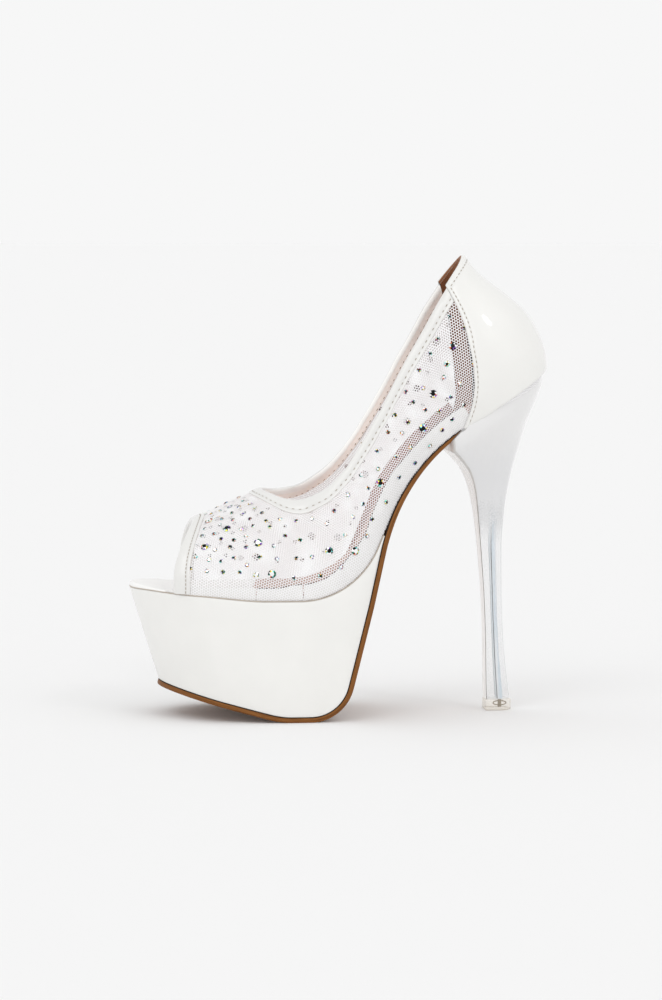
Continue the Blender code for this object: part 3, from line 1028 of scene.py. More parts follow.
@dataclass
class SoleEdge(Finish):
    """Stacked sole leather, striped along its edge, with darkened corners."""

    light: Colour
    dark: Colour
    roughness: float = 0.5
    stripe_share: float = 0.7
    stops: Triple = (0.3, 0.48, 0.66)

    def mix(self) -> None:
        """Joins the nodes."""
        stripes = self.noise(self.place(stretch=(0.03, 3.2, 1.0), uv=True), scale=1.0, detail=5.0)
        patches = self.noise(self.place(stretch=(0.12, 0.4, 1.0), uv=True), scale=1.0, detail=3.0)
        patched = self.math("MULTIPLY", patches, 1 - self.stripe_share)
        mixed = self.math("ADD", self.math("MULTIPLY", stripes, self.stripe_share), patched)
        middle = tuple((a + b) / 2 for a, b in zip(self.light, self.dark))
        self.bump(stripes, depth=0.00025)
        self.set(
            base_color=self.ramp(mixed, list(zip(self.stops, (self.dark, middle, self.light)))),
            roughness=self.fade(stripes, NOISE_SPAN, into=(0.1, -0.1), about=self.roughness),
            specular_ior_level=0.15,
        )


@dataclass
class ClearAcrylic(Finish):
    """Clear cast acrylic: almost unseen face on, with painted shade that greys it towards its outlines in
    place of refraction, and fine mould lines.
    """

    colour: Colour
    # The grey of the outlines: painted shade standing in for refraction.
    outline: Colour
    body: float = 0.1
    rim: float = 0.75
    outline_shade_span: Limits = (0.6, 0.95)

    def mix(self) -> None:
        """Joins the nodes."""
        slant = self.slant()
        lines = self.noise(self.place(stretch=MOULD_LINES), MOULD_SCALE, detail=3.0)
        veil = self.fade(slant, SLANT_SPAN, into=(self.body, self.rim))
        self.bump(lines, depth=0.00006)
        self.set(
            base_color=self.ramp(slant, list(zip(self.outline_shade_span, (self.colour, self.outline)))),
            alpha=self.math("ADD", veil, self.fade(lines, span=(0.5, 0.8), into=(0.0, 0.06))),
            roughness=self.fade(lines, span=(0.35, 0.8), into=(0.04, 0.14)),
            coat_weight=0.5, coat_roughness=0.03,
        )


@dataclass
class FrostedAcrylic(Finish):
    """Acrylic that is milky above and clear below, between two heights in metres, greyed towards its
    outlines where clear by painted refraction shade, and lit by painted emission.
    """

    colour: Colour
    # The grey of the outlines where clear: painted shade standing in for refraction.
    outline: Colour
    head: Colour
    clear_at: float
    full_at: float
    head_at: float
    body: float = 0.16
    rim: float = 0.75
    grade: float = 0.4
    outline_shade_span: Limits = (0.76, 0.97)
    # Emission: painted light on the heel, which is no lamp.
    painted_glow: float = 0.35
    stipple: float = 5000.0

    def mix(self) -> None:
        """Joins the nodes."""
        veins = self.noise(self.place(stretch=VEINS), VEIN_SCALE, detail=3.0)
        level = self.split(self.place())[2]
        height = self.math("ADD", level, self.fade(veins, NOISE_SPAN, into=(-0.0015, 0.0015)))
        grain = self.noise(self.place(), self.stipple, detail=1.0)
        share = self.fade(height, (self.clear_at, self.full_at))
        stippled = self.math("ADD", share, self.fade(grain, span=(0.35, 0.65), into=(-0.3, 0.3)))
        milk = self.fade(stippled, span=(0.3, 0.6))
        slant = self.slant()
        clearness = self.math("SUBTRACT", 1.0, milk)
        # Painted shade: greyer towards the outlines where the acrylic is clear.
        slant_shade = self.math("MULTIPLY", self.math("MULTIPLY", slant, clearness), 1 - self.grade)
        paling = self.fade(height, (self.full_at, self.head_at), into=(self.grade, 0.0))
        places = (0.0, self.grade, *self.outline_shade_span)
        stops = list(zip(places, (self.head, self.colour, self.colour, self.outline)))
        self.bump(self.noise(self.place(stretch=MOULD_LINES), MOULD_SCALE, detail=3.0), depth=0.00002)
        self.set(
            base_color=self.ramp(self.math("ADD", slant_shade, paling), stops),
            alpha=self.math("MAXIMUM", milk, self.fade(slant, SLANT_SPAN, into=(self.body, self.rim))),
            roughness=self.fade(veins, NOISE_SPAN, into=(0.2, 0.26)),
            emission_color=self.colour, emission_strength=self.painted_glow,
            coat_weight=0.1, coat_roughness=0.03, specular_ior_level=0.2,
        )


@dataclass
class FadingLine(Finish):
    """An edge whose painted light or shade, standing in for light through clear acrylic, changes between
    two heights in metres.
    """

    foot: Colour
    head: Colour
    foot_at: float
    head_at: float
    painted_glow: float = 0.0

    def mix(self) -> None:
        """Joins the nodes."""
        veins = self.noise(self.place(stretch=(1.0, 1.0, 0.06)), scale=700.0, detail=3.0)
        level = self.split(self.place())[2]
        height = self.math("ADD", level, self.fade(veins, NOISE_SPAN, into=(-0.006, 0.006)))
        shares = self.fade(height, (self.foot_at, self.head_at))
        self.set(
            base_color=self.ramp(shares, ((0.0, self.foot), (1.0, self.head))),
            roughness=self.fade(veins, NOISE_SPAN, into=(0.2, 0.35)),
            emission_color=self.head, emission_strength=self.painted_glow,
            coat_weight=0.3, coat_roughness=0.05,
        )


@dataclass
class FrostedCore(Finish):
    """A milky sheet that paints the refraction seen inside clear acrylic, thinning out between two heights
    in metres, with veins of a second colour.
    """

    colour: Colour
    vein: Colour
    clear_at: float
    full_at: float
    fullest: float = 1.0
    vein_span: Limits = (0.40, 0.58)

    def mix(self) -> None:
        """Joins the nodes."""
        level = self.split(self.place())[2]
        milk = self.fade(level, (self.clear_at, self.full_at), into=(0.0, self.fullest))
        veins = self.noise(self.place(stretch=VEINS), VEIN_SCALE, detail=3.0)
        self.set(
            base_color=self.ramp(veins, list(zip(self.vein_span, (self.colour, self.vein)))),
            alpha=self.math("MULTIPLY", milk, self.fade(veins, NOISE_SPAN, into=(1.0, 0.9))),
            roughness=self.fade(veins, NOISE_SPAN, into=(0.3, 0.42)),
        )


@dataclass
class FacetedStone(Finish):
    """Foiled crystal whose facets carry colours of their own: coating hues, and black and white facets
    painted as dark reflections and glints.
    """

    roughness: float = 0.1

    def mix(self) -> None:
        """Joins the nodes."""
        haze = self.noise(self.place(), scale=1800.0, detail=1.0)
        self.set(
            base_color=self.node("ShaderNodeVertexColor", {}, layer_name="facet").outputs["Color"],
            roughness=self.fade(haze, span=(0.3, 0.8), into=(-0.04, 0.06), about=self.roughness),
            metallic=0.9, coat_weight=0.15, coat_roughness=0.02,
        )


@dataclass
class SewingThread(Finish):
    """Twisted sewing thread."""

    colour: Colour

    def mix(self) -> None:
        """Joins the nodes."""
        twist = self.noise(self.place(), scale=3000.0)
        self.bump(twist, depth=0.0001)
        colour = self.tones(twist, self.colour, span=(0.25, 0.75), factors=(0.8, 1.15))
        self.set(base_color=colour, roughness=0.6, sheen_weight=0.2)


@dataclass
class PolishedSteel(Finish):
    """Bright drawn steel with fine scratches."""

    colour: Colour
    roughness: float = 0.22
    span: Limits = (0.3, 0.8)

    def mix(self) -> None:
        """Joins the nodes."""
        scratch = self.noise(self.place(stretch=(1.0, 1.0, 6.0)), scale=1400.0, detail=3.0)
        self.set(
            base_color=self.tones(scratch, self.colour, self.span, factors=(1.0, 0.75)),
            roughness=self.fade(scratch, self.span, into=(0.0, 0.2), about=self.roughness),
            metallic=1.0,
        )


@dataclass
class StudioPaper(Finish):
    """The pale paper that the shoe stands on."""

    colour: Colour

    def mix(self) -> None:
        """Joins the nodes."""
        fibre = self.noise(self.place(), scale=700.0, detail=3.0)
        colour = self.tones(fibre, self.colour, span=(0.2, 0.8), factors=(0.997, 1.003))
        self.set(base_color=colour, roughness=0.9, specular_ior_level=0.1)


def read_along(places: Array, run: Array, values: Array) -> Array:
    """Rows of values read at places along a line."""
    return np.stack([np.interp(places, run, column) for column in values.T], axis=-1)


# Place along a stitch and swell there, as shares of its length and width
STITCH_STATIONS = ((-0.5, 0.35), (-0.36, 0.9), (0.0, 1.0), (0.36, 0.9), (0.5, 0.35))


@dataclass
class Stitching:
    """Rows of short stitches that lie on a surface."""

    thread: Material
    length: float = 1.25
    width: float = 0.42
    height: float = 0.26
    sides: int = 6

    def form(self) -> tuple[Array, list[tuple[int, ...]]]:
        """One stitch, along its first axis with its third axis up.

        Returns:
            Its points and its faces.
        """
        turns = np.linspace(0, 2 * math.pi, self.sides, endpoint=False)
        wide, high = 0.5 * self.width * np.cos(turns), 0.5 * self.height * np.sin(turns)
        rings = [
            np.stack((np.full(self.sides, place * self.length), swell * wide, swell * high), axis=-1)
            for place, swell in STITCH_STATIONS
        ]
        last = (len(rings) - 1) * self.sides
        faces: list[tuple[int, ...]] = []
        for here in range(0, last, self.sides):
            for i in range(self.sides):
                ahead = here + (i + 1) % self.sides
                faces.append((here + i, ahead, ahead + self.sides, here + i + self.sides))
        faces.append(tuple(range(self.sides))[::-1])
        faces.append(tuple(range(last, last + self.sides)))
        return np.concatenate(rings), faces

    def sew(self, name: str, lines: Sequence[tuple[Array, Array]], pitch: float) -> None:
        """Makes one piece from rows of stitches.

        Args:
            name: the piece's name.
            lines: for each row, the points along it and the surface's directions there.
            pitch: the distance from one stitch to the next.
        """
        piece = Piece(name)
        form, faces = self.form()
        for points, normals in lines:
            run = travelled(points)
            places = np.arange(pitch / 2, run[-1], pitch)
            up = unit(read_along(places, run, normals))
            ahead = unit(read_along(places, run, np.gradient(points, run, axis=0)))
            across = unit(np.cross(up, ahead))
            frames = np.stack((ahead, across, np.cross(ahead, across)), axis=1)
            piece.stamp(form, faces, read_along(places, run, points), frames)
        piece.build([self.thread], weld=False)


@dataclass
class Upper:
    """The net upper with the stiff band that runs inside it along the sole, and the heel's lining."""

    last: Last
    cuts: CutLines
    net: Material
    band_white: Material
    band_pink: Material
    band_dark: Material
    heel_brown: Material
    heel_back: Material
    vamp_columns: int = 44
    wrap_columns: int = 24
    flank_rows: int = 8
    girth_rows: int = 30
    unroll_steps: int = 8
    least_flat: float = 1e-9
    band_start: float = 57.0
    band_seam: float = 79.2
    seam_gap: float = 0.5
    band_wall: float = 0.7
    band_inset: float = 0.08
    band_edge: float = 0.4
    band_foot: float = 0.4
    band_toe_gap: float = 1.0
    band_end: float = 0.1
    band_columns: int = 12
    band_shares: tuple[float, ...] = (0.0, 0.35, 0.7, 1.0)
    band_heights: tuple[Triple, ...] = (
        # along, outer height, inner height
        (57.0, 6.4, 2.0), (66.0, 6.5, 2.0), (76.0, 8.0, 2.0), (87.0, 8.5, 1.6), (98.0, 10.8, 0.9),
        (108.0, 12.9, 1.5), (118.0, 13.4, 5.0), (126.0, 14.4, 6.7), (146.0, 13.0, 7.9), (166.0, 10.2, 7.2),
        (186.0, 9.6, 7.1), (206.0, 9.7, 8.2),
    )
    lining_start: float = 199.3
    lining_lean: float = 0.542
    lining_inset: float = 0.9
    lining_wall: float = 0.5
    lining_reach: float = 0.3
    lining_levels: Limits = (0.04, 0.997)
    lining_columns: int = 60
    lining_rows: int = 30

    def rises(self, top: Number) -> Array:
        """Rises of the rows from the feather line up.

        Args:
            top: the rise or rises of the upper edge.

        Returns:
            The rises, with the rows last.
        """
        flank = np.linspace(-1, 0, self.flank_rows, endpoint=False)
        girth = np.linspace(0, 1, self.girth_rows + 1)
        top = np.asarray(top, float)[..., None]
        return np.concatenate((np.broadcast_to(flank, (*top.shape[:-1], len(flank))), top * girth), axis=-1)

    def side_grid(self, side: Side) -> Array:
        """The net's columns on one side, from the toe opening to the back.

        Args:
            side: the side of the foot.

        Returns:
            The points in columns of rows.
        """
        rises = self.rises(math.pi / 2)
        edges = self.cuts.toe_edge(side, rises)
        shares = np.linspace(0, 1, self.vamp_columns, endpoint=False)[:, None]
        vamp = self.last.point(edges + shares * (self.cuts.throat - edges), side, rises)
        stations = np.concatenate((
            self.cuts.topline_stations(0.0, self.last.pivot),
            np.linspace(self.last.pivot, self.last.back, self.wrap_columns)[1:],
        ))
        quarter = self.last.point(stations[:, None], side, self.rises(self.cuts.top_rise(stations, side)))
        return np.concatenate((vamp, quarter))

    def make_net(self) -> None:
        """The sheet of net, laid flat by its own threads to place the holes."""
        piece = Piece("upper_net")
        outer, inner = self.side_grid(Side.OUTER), self.side_grid(Side.INNER)
        piece.patch(np.concatenate((outer, inner[-2::-1])))
        sheet = piece.build([self.net], "upper", Slot.NET)
        self.lay_flat(sheet)

    def lay_flat(self, sheet: Object) -> None:
        """Unrolls the sheet from a cut down its back, at true size in millimetres.

        Args:
            sheet: the sheet of net.
        """
        mesh = sheet.data
        middle = self.last.point(self.last.back, Side.OUTER, 0.0)[1] * METRES_PER_MM
        behind = self.last.bed.at(self.last.pivot)[0] * METRES_PER_MM
        points = np.zeros(len(mesh.vertices) * 3)
        mesh.vertices.foreach_get("co", points)
        points = points.reshape(-1, 3)
        cut = (np.abs(points[:, 1] - middle) < WELD_METRES) & (points[:, 0] > behind)
        for edge in mesh.edges:
            edge.use_seam = bool(cut[list(edge.vertices)].all())
        bpy.context.view_layer.objects.active = sheet
        sheet.select_set(True)
        bpy.ops.object.mode_set(mode="EDIT")
        bpy.ops.mesh.select_all(action="SELECT")
        bpy.ops.uv.unwrap(method="MINIMUM_STRETCH", margin=0.0, iterations=self.unroll_steps)
        bpy.ops.object.mode_set(mode="OBJECT")
        sheet.select_set(False)
        layer = mesh.uv_layers["millimetres"]
        places = np.zeros(len(layer.data) * 2)
        layer.data.foreach_get("uv", places)
        places = places.reshape(-1, 2)
        corners = np.zeros(len(mesh.loops), np.int32)
        mesh.loops.foreach_get("vertex_index", corners)
        flat = np.linalg.norm(np.diff(places, axis=0), axis=1)
        true = np.linalg.norm(np.diff(points[corners], axis=0), axis=1) / METRES_PER_MM
        stretch = np.median(true[flat > self.least_flat] / flat[flat > self.least_flat])
        layer.data.foreach_set("uv", (places * stretch).astype(np.float32).ravel())

    def band_grid(self, side: Side, start: float, end: float) -> Array:
        """A closed band inside the net: up its outer face, over its edge and down its inner face.

        Args:
            side: the side of the foot.
            start: where it starts along the foot bed.
            end: where it ends.

        Returns:
            The points in columns of rows.
        """
        along = np.linspace(start, end, max(self.band_columns, round(end - start)))[:, None]
        knots, outer, inner = np.array(self.band_heights).T
        height = SmoothCurve(knots, inner if side is Side.INNER else outer)(along)
        climb = height - self.band_edge - self.band_foot
        rising = [self.band_foot + share * climb for share in self.band_shares]
        heights = np.concatenate((*rising, height, height, *rising[-2::-1]), axis=1)
        faces = (self.band_inset, self.band_inset + self.band_wall)
        insets = np.repeat(faces, (len(rising) + 1, len(rising)))
        return self.last.off(along, side, self.last.rise_at(along, heights), -insets)

    def make_bands(self) -> None:
        """The stiff band along the sole, lined inside behind the toes, with a dark strip of painted shade
        along its upper edge.
        """
        piece = Piece("feather_band")
        end = float(self.cuts.counter_edge(self.band_end))
        # The dark strip along the top is painted shade along the band's edge.
        white, lined, edge = 0, 1, 2
        for side in Side:
            front = float(self.cuts.toe_edge(side, -1.0)) + self.band_toe_gap
            piece.patch(self.band_grid(side, front, self.band_start - self.seam_gap), white, ring=True)
            seam = [self.band_seam] if side is Side.OUTER else []
            seams = [self.band_start, *seam, end]
            for first, following in zip(seams, seams[1:]):
                grid = self.band_grid(side, first, following - self.seam_gap)
                piece.patch(grid, [white, white, white, edge, edge, *[lined] * 4], ring=True)
        piece.build([self.band_white, self.band_pink, self.band_dark], slot=Slot.NET)

    def make_heel_lining(self) -> None:
        """The leather that lines the heel, from a straight front edge round the back."""
        piece = Piece("heel_lining")
        shares = np.linspace(0, 1, self.lining_columns)[:, None]
        levels = np.linspace(*self.lining_levels, self.lining_rows)
        rows = np.concatenate((levels, levels[::-1]))
        insets = np.repeat((self.lining_inset, self.lining_inset + self.lining_wall), len(levels))
        sides = []
        for side in Side:
            height = rows * self.last.size("outer", self.last.pivot)
            line = self.lining_start + self.lining_lean * height
            front = np.minimum(line, self.cuts.counter_edge(rows, side) + self.lining_reach)
            along = front + shares * (self.last.back - front)
            rise = self.last.rise_at(along, self.cuts.collar(along, side, rows))
            sides.append(self.last.off(along, side, rise, -insets))
        # The faces towards the net take a near black finish with little shine: painted shade for the dark
        # seen through the net's holes.
        seen, back = 0, 1
        marks = [back] * (len(levels) - 1) + [seen] * (len(levels) + 1)
        piece.patch(np.concatenate((sides[0], sides[1][-2::-1])), marks, ring=True)
        piece.build([self.heel_brown, self.heel_back])

    def build(self) -> None:
        """Builds the upper's pieces in order."""
        self.make_net()
        self.make_bands()
        self.make_heel_lining()


class FoldFace(Enum):
    """The faces of a folded binding, valued by the number of their finish."""

    OUTSIDE = 0
    LINING = 1
    # The inside of the fold's rim, which lies in shade and takes painted light from emission.
    RIM = 2


# Distance from the lower edge or else from the free edge, and offset, in order round the fold
FOLD_ROWS = {
    FoldFace.OUTSIDE: (
        (0.0, None, 0.10), (0.0, None, 0.55), (0.25, None, 0.78), (1.2, None, 0.84), (1.55, None, 0.66),
        (1.9, None, 0.70), (2.2, None, 0.98), (None, 2.2, 1.28), (None, 1.2, 1.34), (None, 0.5, 1.22),
        (None, 0.0, 0.90), (None, -0.32, 0.40), (None, -0.42, -0.20),
    ),
    FoldFace.RIM: ((None, -0.30, -0.80), (None, 0.05, -1.25), (None, 0.6, -1.52), (None, 1.4, -1.58)),
    FoldFace.LINING: (
        (None, 1.6, -1.40), (None, 2.4, -1.42), (1.6, None, -1.45), (1.0, None, -1.35), (0.9, None, -1.00),
    ),
}
STITCH_FROM_LOWER = 1.72
STITCH_OFFSET = 0.80


@dataclass
class Bindings:
    """The folded strips along the topline and round the toe opening, with their stitches."""

    last: Last
    cuts: CutLines
    topline_finish: Material
    toe_finish: Material
    lining: Material
    rim: Material
    stitching: Stitching
    width: float = 5.7
    toe_width_foot: float = 6.9
    toe_width_top: float = 5.3
    toe_lift: float = 2.3
    gap: float = 0.3
    toe_rows: int = 90
    toe_foot_rows: int = 16
    topline_pitch: float = 3.3
    toe_pitch: float = 1.9
    lining_stitch_offset: float = -1.5

    @staticmethod
    def fold(width: Number) -> list[tuple[Number, float]]:
        """The rows round the fold.

        Args:
            width: the strip's width or widths.

        Returns:
            For each row its distance from the free edge, in the shape of width, and its offset.
        """
        rows = []
        for from_lower, from_edge, offset in sum(FOLD_ROWS.values(), ()):
            distance = width - from_lower if from_edge is None else from_edge + 0.0 * width
            rows.append((distance, offset))
        return rows

    @staticmethod
    def marks() -> list[int]:
        """The finish of each strip between two rows of the fold."""
        return [face.value for face, rows in FOLD_ROWS.items() for _ in rows][1:]

    def topline_line(self, side: Side, drop: float, offset: float) -> Array:
        """A line along the topline, from the throat back to the counter.

        Args:
            side: the side of the foot.
            drop: how far it lies below the topline.
            offset: how far it lies off the last.

        Returns:
            Its points.
        """
        highest = self.last.size("outer", self.last.pivot)
        end = float(self.cuts.counter_edge(1 - drop / highest, side)) - self.gap
        along = self.cuts.topline_stations(drop, end)
        return self.last.off(along, side, self.cuts.top_rise(along, side, drop), offset)

    def topline_stitches(self, drop: float, offset: float) -> list[tuple[Array, Array]]:
        """Rows of stitches along the topline on both sides.

        Args:
            drop: how far they lie below the topline.
            offset: how far they lie off the last.

        Returns:
            For each row, its points and the surface's directions there.
        """
        lines = []
        for side in Side:
            points = self.topline_line(side, drop, offset)
            above = self.topline_line(side, drop, offset + math.copysign(1.0, offset))
            lines.append((points, unit(above - points)))
        return lines

    def make_topline(self) -> None:
        """The topline's strip and its stitches, outside and on the lining."""
        piece = Piece("topline_fold")
        fold = self.fold(self.width)
        outer, inner = (
            np.stack([self.topline_line(side, float(drop), offset) for drop, offset in fold], axis=1)
            for side in Side
        )
        piece.patch(np.concatenate((inner[:0:-1], outer)), self.marks())
        piece.build([self.topline_finish, self.lining, self.rim], "topline_binding", Slot.TOPLINE)
        drop = self.width - STITCH_FROM_LOWER
        outside = self.topline_stitches(drop, STITCH_OFFSET)
        self.stitching.sew("topline_stitches", outside, self.topline_pitch)
        inside = self.topline_stitches(drop, self.lining_stitch_offset)
        self.stitching.sew("lining_stitches", inside, self.topline_pitch)

    def toe_line(self, side: Side, rises: Array, from_edge: Array, offset: float) -> Array:
        """A line of points along the toe opening's edge at a distance behind it."""
        return self.last.off(self.cuts.toe_edge(side, rises) + from_edge, side, rises, offset)

    def toe_pair(self, from_edge: Array, offset: float, rises: Array) -> Array:
        """A line over the toe, from the outer foot to the inner one.

        Args:
            from_edge: distances behind the opening's edge.
            offset: how far it lies off the last.
            rises: the rises of its points on each side.

        Returns:
            Its points.
        """
        outer = self.toe_line(Side.OUTER, rises, from_edge, offset)
        inner = self.toe_line(Side.INNER, rises, from_edge, offset)
        return np.concatenate((outer, inner[-2::-1]))

    def make_toe(self) -> None:
        """The toe's strip and its stitches."""
        bottom = float(self.last.rise_at(self.cuts.toe_foot, self.toe_lift))
        flank = np.linspace(bottom, 0, self.toe_foot_rows, endpoint=False)
        rises = np.concatenate((flank, np.linspace(0, math.pi / 2, self.toe_rows)))
        narrowing = np.maximum(rises, 0.0) / (math.pi / 2)
        width = self.toe_width_foot + narrowing * (self.toe_width_top - self.toe_width_foot)
        piece = Piece("toe_fold")
        rows = [self.toe_pair(distance, offset, rises) for distance, offset in self.fold(width)]
        piece.patch(np.stack(rows, axis=1), self.marks())
        piece.build([self.toe_finish] * len(FoldFace), "toe_binding", Slot.TOE)
        seam = width - STITCH_FROM_LOWER
        points = self.toe_pair(seam, STITCH_OFFSET, rises)
        above = self.toe_pair(seam, STITCH_OFFSET + 1.0, rises)
        self.stitching.sew("toe_stitches", [(points, unit(above - points))], self.toe_pitch)

    def build(self) -> None:
        """Builds both strips."""
        self.make_topline()
        self.make_toe()


@dataclass
class Counter:
    """The patent counter round the heel, with a turned and stitched edge at its front and top."""

    last: Last
    cuts: CutLines
    finish: Material
    inside: Material
    stitching: Stitching
    face: float = 1.6
    pitch: float = 2.4
    columns: int = 56
    rows: int = 44
    seam: float = 1.9
    stitch_from: float = 0.03
    stitch_offset: float = 1.42
    stitch_rows: int = 120
    stitch_columns: int = 60
    roll_strips: int = 2
    # distance behind the front edge and offset
    edge_columns: tuple[Limits, ...] = (
        (0.0, 0.15), (0.0, 0.75), (0.18, 1.18), (0.5, 1.45), (1.0, 1.55), (1.55, 1.52),
        (1.78, 1.30), (2.02, 1.30), (2.25, 1.52), (3.2, 1.60),
    )
    # drop below the topline and offset
    top_rows: tuple[Limits, ...] = (
        (0.05, -0.85), (-0.35, -0.55), (-0.5, 0.0), (-0.4, 0.6), (-0.1, 1.12), (0.4, 1.44), (1.0, 1.55),
        (1.55, 1.52), (1.78, 1.30), (2.02, 1.30), (2.25, 1.52), (3.2, 1.60),
    )
    # height and offset
    foot_rows: tuple[Limits, ...] = ((0.05, 0.9), (0.1, 1.3), (0.4, 1.55), (1.2, 1.6))
    seat_fade: float = 14.0

    def side_grid(self, side: Side) -> Array:
        """The counter's columns on one side, from its front edge to the back.

        Args:
            side: the side of the foot.

        Returns:
            The points in columns of rows.
        """
        height = float(self.cuts.topline(self.last.pivot, Side.OUTER))
        top_drop, top_off = np.array(self.top_rows[::-1]).T
        foot_height, foot_off = np.array(self.foot_rows).T
        middle = np.linspace(foot_height[-1] / height, 1 - top_drop[0] / height, self.rows)[1:-1]
        shares = np.concatenate((foot_height / height, middle, 1 - top_drop / height))
        row_off = np.concatenate((foot_off, np.full(len(middle), self.face), top_off))
        edge = self.cuts.counter_edge(shares, side)
        front, front_off = np.array(self.edge_columns).T
        rest = np.linspace(0, 1, self.columns)[1:, None]
        near = edge + front[:, None]
        along = np.concatenate((near, near[-1] + rest * (self.last.back - near[-1])))
        column_off = np.concatenate((front_off, np.full(len(rest), self.face)))
        offset = np.minimum(column_off[:, None], row_off)
        level = np.maximum(self.cuts.collar(along, side, shares), foot_height[0])
        x = self.last.point(along, side, self.last.rise_at(along, level))[..., 0]
        level = level + self.cuts.seat_line(x) * np.clip(1 - level / self.seat_fade, 0.0, 1.0)
        return self.last.off(along, side, self.last.rise_at(along, level), offset)

    def stitch_lines(self) -> list[tuple[Array, Array]]:
        """Rows of stitches up the front edges and along the top.

        Returns:
            For each row, its points and the surface's directions there.
        """
        height = float(self.cuts.topline(self.last.pivot, Side.OUTER))
        lines = []
        for side in Side:
            shares = np.linspace(self.stitch_from, 1 - self.seam / height, self.stitch_rows)
            front = self.cuts.counter_edge(shares, side) + self.seam
            back = np.linspace(front[-1], self.last.back, self.stitch_columns)[1:]
            along = np.concatenate((front, back))
            share = np.concatenate((shares, np.full(len(back), 1 - self.seam / height)))
            rise = self.last.rise_at(along, self.cuts.collar(along, side, share))
            points = self.last.off(along, side, rise, self.stitch_offset)
            above = self.last.off(along, side, rise, self.stitch_offset + 1.0)
            lines.append((points, unit(above - points)))
        return lines

    def build(self) -> None:
        """Builds the shell and its stitches."""
        piece = Piece("counter_shell")
        outer, inner = self.side_grid(Side.OUTER), self.side_grid(Side.INNER)
        skin, roll = 0, 1
        strips = outer.shape[1] - 1
        marks = [skin] * (strips - self.roll_strips) + [roll] * self.roll_strips
        piece.patch(np.concatenate((outer, inner[-2::-1])), marks)
        piece.build([self.finish, self.inside], "counter", Slot.COUNTER)
        self.stitching.sew("counter_stitches", self.stitch_lines(), self.pitch)


